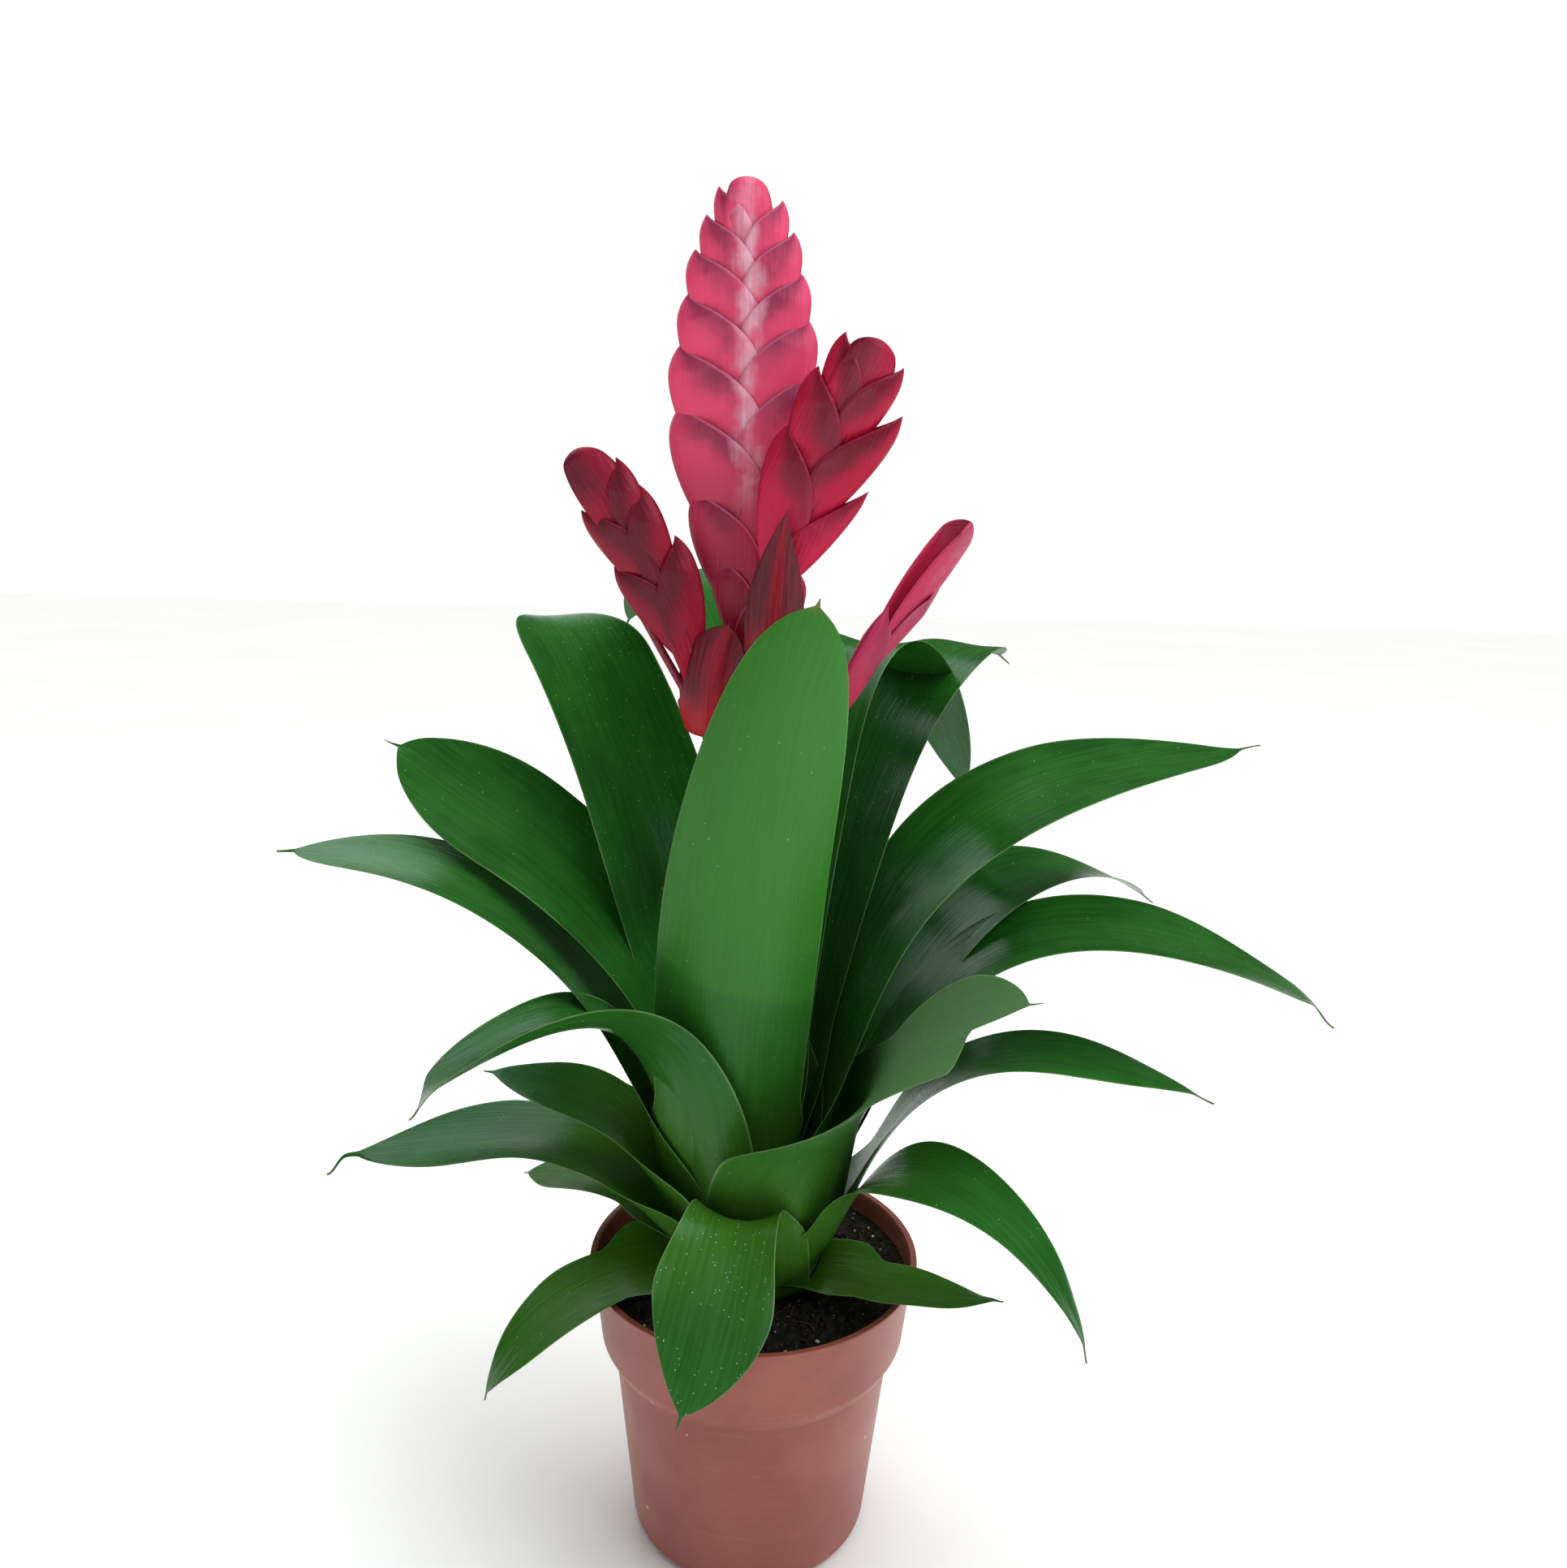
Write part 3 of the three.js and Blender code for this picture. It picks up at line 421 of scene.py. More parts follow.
def bract_outline(bract, t):
    """Keel and free margin as points (across, along): cubic curves that meet in a round end."""
    side, start, length, reach, slim = (*bract, 0)[:5]
    scale, base = np.array([reach, length]), np.array([0, start])
    if side == 0:
        keel = [(0.3, 0), (1.3, 0.25), (1.25, 0.88), (0.42, 1)]
        margin = [(-x, y) for x, y in keel]
    else:
        keel = [(0, 0), (0.45, 0.15), (1.3 - 0.35 * slim, 0.75), (0.86 + 0.08 * slim, 1)]
        margin = [(-0.2, 0.03), (-0.5 + 0.2 * slim, 0.8 - 0.25 * slim),
                  (0.35, 0.8 - 0.15 * slim), (0.78 + 0.1 * slim, 0.985)]
    a, b = (cubic(np.array(c) * scale + base, t) for c in (keel, margin))
    q = np.clip((t - 0.8) / 0.2, 0, 1)
    close = (0.03 + 0.97 * np.sqrt(1 - q**2.2))[:, None]
    middle = (a + b) / 2
    return middle + (a - middle) * close, middle + (b - middle) * close


def bract_grid(spike, bract, inset):
    """One skin of a bract, set in by inset: across v from the back margin (-1) over the keel
    (0) to the front margin (1), with the thickness h sqrt(1-(1-|v|)^2) swelling off the keel."""
    side, start = bract[:2]
    foot, along, across, face, length = spike_frame(spike)
    t = 1 - (1 - np.linspace(0, 1, BRACT_ROWS)) ** 1.3
    keel, margin = bract_outline(bract, t)
    v = np.linspace(-1, 1, BRACT_COLUMNS)
    v = np.sign(v) * np.abs(v) ** 1.6
    width = np.linalg.norm(margin - keel, axis=1)[:, None]
    share = np.abs(v)[None] + (1 - np.abs(v)[None]) * np.minimum(inset / width, 0.4)
    flat = keel[:, None] + (margin - keel)[:, None] * share[..., None]
    half = np.minimum(spike["half"] + spike["rise"] * (flat[..., 1] - start), 0.42 * width + 0.05)
    bulge = np.sqrt(np.clip(1 - (1 - np.abs(v)) ** 2, 0, 1))[None]
    depth = half * bulge - inset * np.minimum(1, 4 * np.abs(v))[None]
    out = np.sign(v)[None] * np.maximum(depth, 0.02)
    q = flat[..., 1:] / length
    bow = 4 * spike["bow"] * q * (1 - q)
    place = (foot + ((side or 1) * flat[..., :1] + bow) * across + flat[..., 1:] * along
             + out[..., None] * face)
    return place, flat, t, v, margin


def build_bract(name, spike, bract, number, material):
    """Closed folded bract with its own coordinates: fold = (|v|, t, height below the free
    margin in m) and rib = (distance from the axis in m, height in m, rank in the spike)."""
    outer, flat, t, v, margin = bract_grid(spike, bract, 0)
    inner = bract_grid(spike, bract, BRACT_WALL)[0]
    points, faces = closed_sheet(outer, inner)
    if (bract[0] or 1) > 0:
        faces = faces[:, ::-1]
    order = np.argsort(margin[:, 0])
    level = np.interp(flat[..., 0], margin[order, 0], margin[order, 1])
    if bract[0] == 0:
        level = np.full(level.shape, flat[..., 1].max())
    below = np.clip(level - flat[..., 1], 0, 60) * MM
    shape = below.shape
    fold = np.stack([np.broadcast_to(np.abs(v)[None], shape), np.broadcast_to(t[:, None], shape),
                     below], -1).reshape(-1, 3)
    rank = np.full(shape, number / (len(spike["bracts"]) - 1))
    rib = np.stack([flat[..., 0] * MM, flat[..., 1] * MM, rank], -1).reshape(-1, 3)
    attributes = {"fold": np.tile(fold, (2, 1)), "rib": np.tile(rib, (2, 1))}
    piece = make_piece(name, points, faces, spike["slot"], material, attributes)
    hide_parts(name)


# ------------------------------------------------------------------ stem, pot and peat


def tube(route, radii, sides):
    """Closed round bar: circles of the given radii about the points of a route, each square to
    the route's direction there, with flat ends."""
    route = np.asarray(route, float)
    tangent = unit(np.gradient(route, axis=0))
    across = unit(np.cross(tangent, [0.3, 1, 0.1]))
    over = np.cross(tangent, across)
    turn = np.linspace(0, 2 * math.pi, sides, endpoint=False)
    ring = np.cos(turn)[:, None] * across[:, None] + np.sin(turn)[:, None] * over[:, None]
    points = route[:, None] + np.asarray(radii)[:, None, None] * ring
    faces = grid_faces(len(route), sides, closed=True).tolist()
    last = (len(route) - 1) * sides
    faces += [list(range(sides))[::-1], list(range(last, last + sides))]
    return points.reshape(-1, 3), faces


def smooth_route(points, steps):
    """Points of a curve through the given ones, with slopes taken from their neighbours."""
    p = np.asarray(points, float)
    slope = np.gradient(p, axis=0)
    t = np.linspace(0, len(p) - 1, steps)
    i = np.minimum(t.astype(int), len(p) - 2)
    f = (t - i)[:, None]
    return ((1 + 2 * f) * (1 - f) ** 2 * p[i] + f * (1 - f) ** 2 * slope[i]
            + f * f * (3 - 2 * f) * p[i + 1] + f * f * (f - 1) * slope[i + 1])


def join_shapes(shapes):
    """One list of points and faces from several."""
    points, faces, start = [], [], 0
    for more, polygons in shapes:
        points.append(more)
        faces += [[start + k for k in polygon] for polygon in polygons]
        start += len(more)
    return np.concatenate(points), faces


def build_stem(settings):
    """Short crown core, flower stalk and the axes of the four spikes, as closed round bars."""
    core = smooth_route(CORE_ROUTE, 12)
    shapes = [tube(core, np.interp(core[:, 2], CORE_HEIGHTS, CORE_RADII), 24)]
    stalk = smooth_route(STALK_ROUTE, 60)
    shapes.append(tube(stalk, STALK_RADIUS + STALK_SWELL * np.sin(stalk[:, 2] / 6.5), 20))
    for route in BRANCH_ROUTES:
        axis = smooth_route(route, 40)
        shapes.append(tube(axis, np.linspace(*BRANCH_RADII, len(axis)), 12))
    piece = make_piece("stem", *join_shapes(shapes), "stem", stem_material(settings))
    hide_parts("stem")


def rounded(outline, size):
    """Outline with each corner turned into a quadratic curve that starts and ends at most
    size before and after it, with a support point next to each end."""
    p = np.asarray(outline, float)
    result = [p[:1]]
    for before, corner, after in zip(p[:-2], p[1:-1], p[2:]):
        to_before, to_after = before - corner, after - corner
        near = min(size, 0.3 * np.linalg.norm(to_before), 0.3 * np.linalg.norm(to_after))
        a, b = corner + near * unit(to_before), corner + near * unit(to_after)
        t = np.linspace(0, 1, 5)[:, None]
        curve = (1 - t) ** 2 * a + 2 * t * (1 - t) * corner + t * t * b
        support = [a + 0.15 * near * unit(to_before), b + 0.15 * near * unit(to_after)]
        result += [support[:1], curve, support[1:]]
    return np.concatenate(result + [p[-1:]])


def turned(outline, angles):
    """Closed turned body: outline points (radius, height) carried round the upright axis; the
    first and the last point lie on it."""
    ring = np.stack([np.cos(angles), np.sin(angles)], -1)
    body = outline[1:-1]
    points = np.concatenate([body[:, None, :1] * ring[None], np.broadcast_to(
        body[:, None, 1:], (len(body), len(angles), 1))], -1)
    sides, last = len(angles), (len(body) - 1) * len(angles)
    faces = grid_faces(len(body), sides, closed=True).tolist()
    low, high = len(body) * sides, len(body) * sides + 1
    around = [(j, (j + 1) % sides) for j in range(sides)]
    faces += [[low, b, a] for a, b in around] + [[high, last + a, last + b] for a, b in around]
    ends = [[0, 0, outline[0][1]], [0, 0, outline[-1][1]]]
    return points, np.array(ends, float), faces


def build_pot(settings):
    """Turned pot with a stepped band and a lip. Inside the drain notches the foot's outer
    points move in to the notch's depth and the wall starts at the notch's height."""
    wall = settings.wall / MM
    inside = [(r - wall, max(z, POT_FLOOR)) for r, z in POT_OUTLINE[1:-2]][::-1]
    corner = (POT_OUTLINE[1][0] - wall - 0.5, POT_FLOOR)
    outline = rounded([*POT_HOLLOW, *POT_OUTLINE, POT_LIP, *inside[:-1], corner,
                       (0, POT_FLOOR)], POT_ROUNDING)
    half = DRAIN_WIDTH / 2 / POT_OUTLINE[0][0]
    middles = (np.arange(DRAIN_NOTCHES) + 0.5) * 2 * math.pi / DRAIN_NOTCHES
    edges = np.array([-half - 1e-3, -half, half, half + 1e-3])
    angles = np.unique(np.concatenate([np.linspace(0, 2 * math.pi, POT_SIDES, endpoint=False),
                                       (middles[:, None] + edges).ravel()]))
    points, ends, faces = turned(outline, angles)
    off = np.abs((angles[:, None] - middles + math.pi) % (2 * math.pi) - math.pi).min(1)
    inner = POT_OUTLINE[0][0] - DRAIN_DEPTH
    radius = np.hypot(points[..., 0], points[..., 1])
    foot = (radius > inner) & (points[..., 2] < DRAIN_HEIGHT) & (np.arange(
        len(points))[:, None] < len(outline) / 2) & (off < half + 1e-4)[None]
    first_wall = foot & (points[..., 2] > 1.2)
    shrink = np.where(foot, inner / np.maximum(radius, 1), 1)
    points[..., :2] *= shrink[..., None]
    points[..., 2] = np.where(first_wall, DRAIN_HEIGHT, points[..., 2])
    points = np.concatenate([points.reshape(-1, 3), ends])
    piece = make_piece("pot", points, faces, "pot_plastic", pot_material(settings))
    piece.data.set_sharp_from_angle(angle=math.radians(40))
    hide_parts("pot")


def peat_height(x, y):
    """Height of the peat's surface: a low crown, a dip at the pot's wall and three sizes of
    crumbs as value noise."""
    away = np.hypot(x, y)
    crumbs = (1.5 * lattice_noise(x + 200, y + 200, 9, 3) + 1.1 * np.abs(
        lattice_noise(x + 200, y + 200, 3.4, 5)) + 0.8 * lattice_noise(x + 200, y + 200, 1.5, 8))
    return SOIL_LEVEL + SOIL_CROWN * (1 - (away / 56) ** 2) + crumbs * smooth(57.5, 50, away) - 0.8


def build_peat(settings):
    """Turned plug that fills the pot, whose top is the peat's surface."""
    top = [(r, SOIL_LEVEL) for r in np.linspace(SOIL_RADIUS, 0, SOIL_RINGS)]
    outline = np.array([*SOIL_OUTLINE, *top])
    angles = np.linspace(0, 2 * math.pi, SOIL_SIDES, endpoint=False)
    points, ends, faces = turned(outline, angles)
    surface = points[len(SOIL_OUTLINE) - 1:]
    surface[..., 2] = peat_height(surface[..., 0], surface[..., 1])
    ends[1, 2] = peat_height(0.0, 0.0)
    points = np.concatenate([points.reshape(-1, 3), ends])
    material = peat_material("peat", settings.colour, settings.crumb_colour,
                             settings.chip_colour)
    piece = make_piece("potting_soil", points, faces, "peat", material)
    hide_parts("potting_soil")


def scatter(count, seed, size, flat, margin):
    """Crumbs strewn on the peat: a 20-sided ball for each, its corners jittered, stretched,
    turned and laid at a random place. size: smallest and largest radius, of which the cube of
    a random number picks one. flat: their height. margin: gap to the peat's edge."""
    ball = bmesh.new()
    bmesh.ops.create_icosphere(ball, subdivisions=1, radius=1)
    corners = np.array([v.co[:] for v in ball.verts])
    polygons = np.array([[v.index for v in f.verts] for f in ball.faces])
    ball.free()
    rng = np.random.default_rng(seed)
    away = np.sqrt(rng.uniform(0.1, 1, count)) * (SOIL_RADIUS - margin)
    turn = rng.uniform(0, 2 * math.pi, count)
    x, y = away * np.cos(turn), away * np.sin(turn)
    scale = size[0] + (size[1] - size[0]) * rng.random(count) ** 3
    stretch = rng.uniform(0.6, 1.3, (count, 1, 3)) * [1, 1, flat]
    shape = corners[None] * rng.uniform(0.7, 1.25, (count, len(corners), 1)) * stretch
    spin = rng.uniform(0, 2 * math.pi, count)
    c, s = np.cos(spin)[:, None], np.sin(spin)[:, None]
    shape = np.stack([shape[..., 0] * c - shape[..., 1] * s,
                      shape[..., 0] * s + shape[..., 1] * c, shape[..., 2]], -1)
    place = np.stack([x, y, peat_height(x, y)], -1)[:, None]
    points = place + shape * scale[:, None, None]
    faces = polygons[None] + (np.arange(count) * len(corners))[:, None, None]
    return points.reshape(-1, 3), faces.reshape(-1, 3)


def build_litter(settings):
    """Dark crumbs, pale grit and brown fibres that lie on the peat."""
    crumbs = peat_material("peat crumbs", settings.crumb_colour, settings.colour,
                           settings.chip_colour)
    make_piece("peat_crumbs", *scatter(settings.crumbs, 21, (0.5, 2.4), 0.7, 2.5), "peat",
               crumbs, smooth_shade=False)
    make_piece("pale_grit", *scatter(settings.grit, 22, (0.3, 1.1), 0.8, 2), "peat",
               plain_material("pale grit", settings.grit_colour, 0.8, 0.0009),
               smooth_shade=False)
    rng = np.random.default_rng(23)
    strands = []
    for _ in range(settings.fibres):
        turn, away = rng.uniform(0, 2 * math.pi), rng.uniform(26, 50)
        heading = rng.uniform(0, 2 * math.pi)
        length, steps = rng.uniform(6, 18), np.linspace(-0.5, 0.5, 9)
        bend = rng.uniform(-0.5, 0.5) * length * steps**2
        x = away * math.cos(turn) + length * steps * math.cos(heading) - bend * math.sin(heading)
        y = away * math.sin(turn) + length * steps * math.sin(heading) + bend * math.cos(heading)
        inward = np.minimum(1, (SOIL_RADIUS - 1.5) / np.hypot(x, y))
        x, y = x * inward, y * inward
        lift = rng.uniform(0.2, 2.2) * (0.25 - (steps - rng.uniform(-0.4, 0.4)) ** 2)
        route = np.stack([x, y, peat_height(x, y) + 0.5 + lift], -1)
        strands.append(tube(route, np.full(9, rng.uniform(0.12, 0.3)), 5))
    make_piece("peat_fibres", *join_shapes(strands), "peat",
               plain_material("peat fibre", settings.fibre_colour, 0.8, 0.0012))


# ------------------------------------------------------------------ node helpers


def srgb(code):
    """Linear colour from a screen colour written as six hexadecimal digits."""
    value = np.array([int(code[i:i + 2], 16) for i in (0, 2, 4)]) / 255
    light = np.where(value < 0.04045, value / 12.92, ((value + 0.055) / 1.055) ** 2.4)
    return tuple(light.tolist())


def node(tree, kind, inputs=None, **settings):
    """New node with its properties set and its inputs given a value or a link."""
    made = tree.nodes.new(kind)
    made.location = (190 * (len(tree.nodes) % 9), -240 * (len(tree.nodes) // 9))
    for key, value in settings.items():
        setattr(made, key, value)
    for key, value in (inputs or {}).items():
        if isinstance(value, bpy.types.NodeSocket):
            tree.links.new(value, made.inputs[key])
        else:
            made.inputs[key].default_value = value
    return made


def calc(tree, operation, *values):
    """One step of arithmetic on numbers or links."""
    return node(tree, "ShaderNodeMath", dict(enumerate(values)), operation=operation).outputs[0]


def times(tree, a, b):
    """a times b."""
    return calc(tree, "MULTIPLY", a, b)


def linear(tree, value, slope, start):
    """value times slope plus start."""
    return calc(tree, "MULTIPLY_ADD", value, slope, start)


def step(tree, value, low, high, start=0.0, end=1.0):
    """start below low, end above high and an S-shaped step between them. low may be the higher."""
    if low > high:
        low, high, start, end = high, low, end, start
    made = node(tree, "ShaderNodeMapRange", {
        "Value": value, "From Min": low, "From Max": high, "To Min": start, "To Max": end},
        interpolation_type="SMOOTHSTEP")
    return made.outputs["Result"]


def tint(tree, share, under, over, mode="MIX"):
    """Colour over laid on colour under by a share."""
    colours = {key: paint if isinstance(paint, bpy.types.NodeSocket) else (*paint, 1)
               for key, paint in {6: under, 7: over}.items()}
    return node(tree, "ShaderNodeMix", {0: share, **colours}, data_type="RGBA",
                blend_type=mode).outputs[2]


def own(tree, name):
    """The three numbers of a piece's own attribute, and the attribute as a vector."""
    source = node(tree, "ShaderNodeAttribute", attribute_name=name).outputs["Vector"]
    parts = node(tree, "ShaderNodeSeparateXYZ", {0: source}).outputs
    return (*parts, source)


def new_effect(name, values, fill):
    """Shader node group with a Vector, the named values as inputs and a Mask as output."""
    tree = bpy.data.node_groups.get(name)
    if tree:
        return tree
    tree = bpy.data.node_groups.new(name, "ShaderNodeTree")
    tree.interface.new_socket("Vector", in_out="INPUT", socket_type="NodeSocketVector")
    for key, value in values.items():
        socket = tree.interface.new_socket(key, in_out="INPUT", socket_type="NodeSocketFloat")
        socket.default_value = value
    tree.interface.new_socket("Mask", in_out="OUTPUT", socket_type="NodeSocketFloat")
    source = node(tree, "NodeGroupInput").outputs
    node(tree, "NodeGroupOutput", {"Mask": fill(tree, source)})
    return tree


def use_effect(tree, effect, **values):
    """Mask of a node group placed in a material with its own values."""
    made = node(tree, "ShaderNodeGroup", node_tree=effect)
    for key, value in values.items():
        if isinstance(value, bpy.types.NodeSocket):
            tree.links.new(value, made.inputs[key])
        else:
            made.inputs[key].default_value = value
    return made.outputs["Mask"]


def noise(tree, vector, detail=2.0, roughness=0.5):
    """Soft noise whose lumps are about one unit of the vector apart."""
    return node(tree, "ShaderNodeTexNoise", {
        "Vector": vector, "Scale": 1.0, "Detail": detail, "Roughness": roughness}).outputs[0]


def scaled(tree, vector, x, y, z):
    """The vector divided by three lengths."""
    lengths = node(tree, "ShaderNodeCombineXYZ", {0: x, 1: y, 2: z}).outputs[0]
    return node(tree, "ShaderNodeVectorMath", {0: vector, 1: lengths},
                operation="DIVIDE").outputs[0]


def veins():
    """Lengthwise veins: noise on (across / spacing, along / (spacing times stretch))."""
    def fill(tree, source):
        long_way = times(tree, source["Spacing"], source["Stretch"])
        place = scaled(tree, source["Vector"], source["Spacing"], long_way, 0.35)
        return step(tree, noise(tree, place), 0.32, 0.68)
    return new_effect("Lengthwise veins", {"Spacing": 0.001, "Stretch": 25}, fill)


def clouds():
    """Soft variation: noise with patches of the given size."""
    def fill(tree, source):
        place = scaled(tree, source["Vector"], *[source["Size"]] * 3)
        return step(tree, noise(tree, place, 3.0, 0.55), 0.3, 0.7)
    return new_effect("Soft clouds", {"Size": 0.02}, fill)


def specks():
    """Separate specks: cells of the given size, of which a share holds a round speck."""
    def fill(tree, source):
        place = scaled(tree, source["Vector"], *[source["Size"]] * 3)
        cells = node(tree, "ShaderNodeTexVoronoi", {"Vector": place, "Scale": 1.0})
        chance = node(tree, "ShaderNodeSeparateColor", {0: cells.outputs["Color"]}).outputs[0]
        kept = calc(tree, "LESS_THAN", chance, source["Share"])
        spot = step(tree, cells.outputs["Distance"], 0.3, 0.2)
        return times(tree, kept, spot)
    return new_effect("Specks", {"Size": 0.002, "Share": 0.1}, fill)


def finish(base, rough, height, relief, through=None, share=0.0, **sockets):
    """Fills a material's tree with a Principled BSDF fed by a colour, a roughness and a height,
    and with light passing through it as a share of a Translucent BSDF."""
    tree = base.id_data
    bump = node(tree, "ShaderNodeBump", {
        "Height": height, "Distance": relief, "Strength": 0.6}).outputs[0]
    inputs = {"Base Color": base, "Roughness": rough, "Normal": bump, **sockets}
    shader = node(tree, "ShaderNodeBsdfPrincipled", inputs).outputs[0]
    if through is not None:
        glow = node(tree, "ShaderNodeBsdfTranslucent", {"Color": through}).outputs[0]
        shader = node(tree, "ShaderNodeMixShader", {0: share, 1: shader, 2: glow}).outputs[0]
    node(tree, "ShaderNodeOutputMaterial", {"Surface": shader})


def start_material(name):
    """New material with an empty node tree."""
    material = bpy.data.materials.new(name)
    material.use_nodes = True
    material.node_tree.nodes.clear()
    return material, material.node_tree


# ------------------------------------------------------------------ materials


def leaf_material(colours):
    """Glossy strap leaf: deep green with lengthwise veins, a yellow-green sheath, a thin pale
    margin, a paler underside, dust, and light through the blade. Where glow is 1, painted
    backlight makes the blade lighter higher up and above a line that slants across it, with
    painted shade below that line. Where pale is 1, a grey-green film with painted sheen covers
    the blade from its middle on."""
    material, tree = start_material("leaf")
    _, along, side, blade = own(tree, "blade")
    v, t, tone, _ = own(tree, "spot")
    glow, pale, dust, _ = own(tree, "looks")
    veined = use_effect(tree, veins(), Vector=blade, Spacing=0.0012, Stretch=30.0)
    fine = use_effect(tree, veins(), Vector=blade, Spacing=0.0004, Stretch=60.0)
    patches = use_effect(tree, clouds(), Vector=blade, Size=0.03)
    fresh = linear(tree, patches, 0.35, times(tree, veined, 0.3))
    fresh = linear(tree, tone, 0.3, fresh)
    base = tint(tree, fresh, colours.leaf_deep, colours.leaf_fresh)
    # Painted shade: the blade is darker below a line that slants across it and lit above it.
    lit_above_line = step(tree, linear(tree, v, 0.03, t), 0.465, 0.48)
    backlight_share = linear(tree, lit_above_line, 0.45, times(tree, step(tree, t, 0.2, 0.7), 0.55))
    # Painted backlight on the upright leaf, lighter above the slanting line and higher up.
    lit = times(tree, times(tree, glow, backlight_share), linear(tree, fine, 0.25, 0.75))
    base = tint(tree, lit, base, colours.leaf_backlight)
    foot = times(tree, step(tree, along, 0.1, 0.03), linear(tree, veined, 0.25, 0.7))
    base = tint(tree, foot, base, colours.sheath)
    under = times(tree, step(tree, side, 0.1, -0.1), 0.35)
    base = tint(tree, under, base, colours.leaf_under)
    # Painted sheen: a grey-green film and the sheen of a blade that faces the light.
    film_and_sheen_share = times(tree, pale, step(tree, t, 0.4, 0.6, 0.0, 0.6))
    base = tint(tree, film_and_sheen_share, base, colours.grey_film_and_sheen)
    rim = step(tree, calc(tree, "ABSOLUTE", v), 0.97, 0.998)
    rim = times(tree, rim, linear(tree, patches, 0.5, 0.15))
    base = tint(tree, rim, base, colours.margin)
    dry = times(tree, step(tree, t, 0.975, 1.0), 0.7)
    base = tint(tree, dry, base, colours.dry_tip)
    share = times(tree, dust, times(tree, patches, 0.1))
    dusty = use_effect(tree, specks(), Vector=blade, Size=0.0007, Share=share)
    dusty = times(tree, dusty, step(tree, t, 0.15, 0.4))
    base = tint(tree, times(tree, dusty, 0.8), base, colours.dust)
    rough = linear(tree, patches, 0.1, 0.17)
    rough = linear(tree, calc(tree, "MAXIMUM", pale, glow), 0.16, rough)
    rough = linear(tree, dusty, 0.4, rough)
    height = linear(tree, veined, 0.6, times(tree, fine, 0.4))
    through = tint(tree, 0.6, base, colours.leaf_through)
    finish(base, rough, height, 0.00012, through, 0.25, IOR=1.4,
           **{"Specular Tint": (*colours.leaf_gloss, 1)})
    return material


def bract_material(name, paint):
    """Satin bract. Below its free margin, away from the keel, lies the lobe's shade, and the
    brighter band's colour elsewhere. The free margin carries a thin painted highlight, the keel a
    thin dark line, a painted highlight runs along the axis, and the foot of the spike is deeper."""
    material, tree = start_material(name)
    paint = {key: srgb(value) if isinstance(value, str) else value
             for key, value in paint.items()}
    fold, t, below, _ = own(tree, "fold")
    off, height, _, rib = own(tree, "rib")
    streaks = use_effect(tree, veins(), Vector=rib, Spacing=0.0009, Stretch=14.0)
    patches = use_effect(tree, clouds(), Vector=rib, Size=0.012)
    centre = calc(tree, "ABSOLUTE", off)
    ragged = linear(tree, patches, 0.006, below)
    shade = linear(tree, step(tree, fold, 0.15, 0.7), 0.75, 0.25)
    shade = times(tree, shade, step(tree, ragged, *paint["band_at"][::-1]))
    shade = times(tree, shade, step(tree, centre, 0.0, 0.008, paint["core"], 1.0))
    hazy = linear(tree, patches, 0.35, times(tree, streaks, 0.1))
    base = tint(tree, hazy, paint["lobe"], paint["haze"])
    base = tint(tree, shade, paint["band"], base)
    deep = times(tree, step(tree, height, *paint["deep_at"]), paint["deep_share"])
    base = tint(tree, deep, base, paint["deep"])
    # Painted highlight along the ridge over the axis, made ragged by soft patches.
    ragged_centre = linear(tree, patches, 0.006, centre)
    ridge_highlight = times(tree, step(tree, ragged_centre, 0.009, 0.001), paint["ridge_highlight_share"])
    ridge_highlight = times(tree, ridge_highlight, linear(tree, streaks, 0.35, 0.65))
    ridge_highlight = times(tree, ridge_highlight, step(tree, height, *paint["ridge_highlight_at"]))
    base = tint(tree, ridge_highlight, base, paint["ridge_highlight"])
    keel = times(tree, step(tree, fold, 0.05, 0.0), step(tree, t, 0.25, 0.7))
    rim = times(tree, calc(tree, "MAXIMUM", keel, step(tree, t, 0.93, 1.0)), 0.5)
    base = tint(tree, rim, base, paint["rim"])
    # Painted highlight: a thin light line along the free margin.
    margin = times(tree, step(tree, below, 0.0012, 0.0003), 0.4)
    base = tint(tree, margin, base, paint["edge"])
    rough = linear(tree, patches, 0.12, 0.34)
    through = tint(tree, 0.5, base, paint["band"])
    finish(base, rough, streaks, 0.00015, through, 0.22, IOR=1.38)
    return material


def leafy_bract_material(colours):
    """Leaf-like red bract: maroon flanks, a bright red middle and foot and a dark edge."""
    material, tree = start_material("leafy bract")
    blade = own(tree, "blade")[-1]
    v, t, _, _ = own(tree, "spot")
    edge = calc(tree, "ABSOLUTE", v)
    streaks = use_effect(tree, veins(), Vector=blade, Spacing=0.0008, Stretch=20.0)
    base = tint(tree, streaks, colours.maroon, colours.crimson)
    middle = times(tree, step(tree, edge, 0.4, 0.05), 0.45)
    base = tint(tree, middle, base, colours.scarlet)
    base = tint(tree, step(tree, t, 0.45, 0.1), base, colours.scarlet)
    base = tint(tree, times(tree, step(tree, edge, 0.9, 1.0), 0.7), base, colours.plum)
    rough = linear(tree, streaks, 0.1, 0.36)
    through = tint(tree, 0.5, base, colours.scarlet)
    finish(base, rough, streaks, 0.00015, through, 0.22, IOR=1.45)
    return material


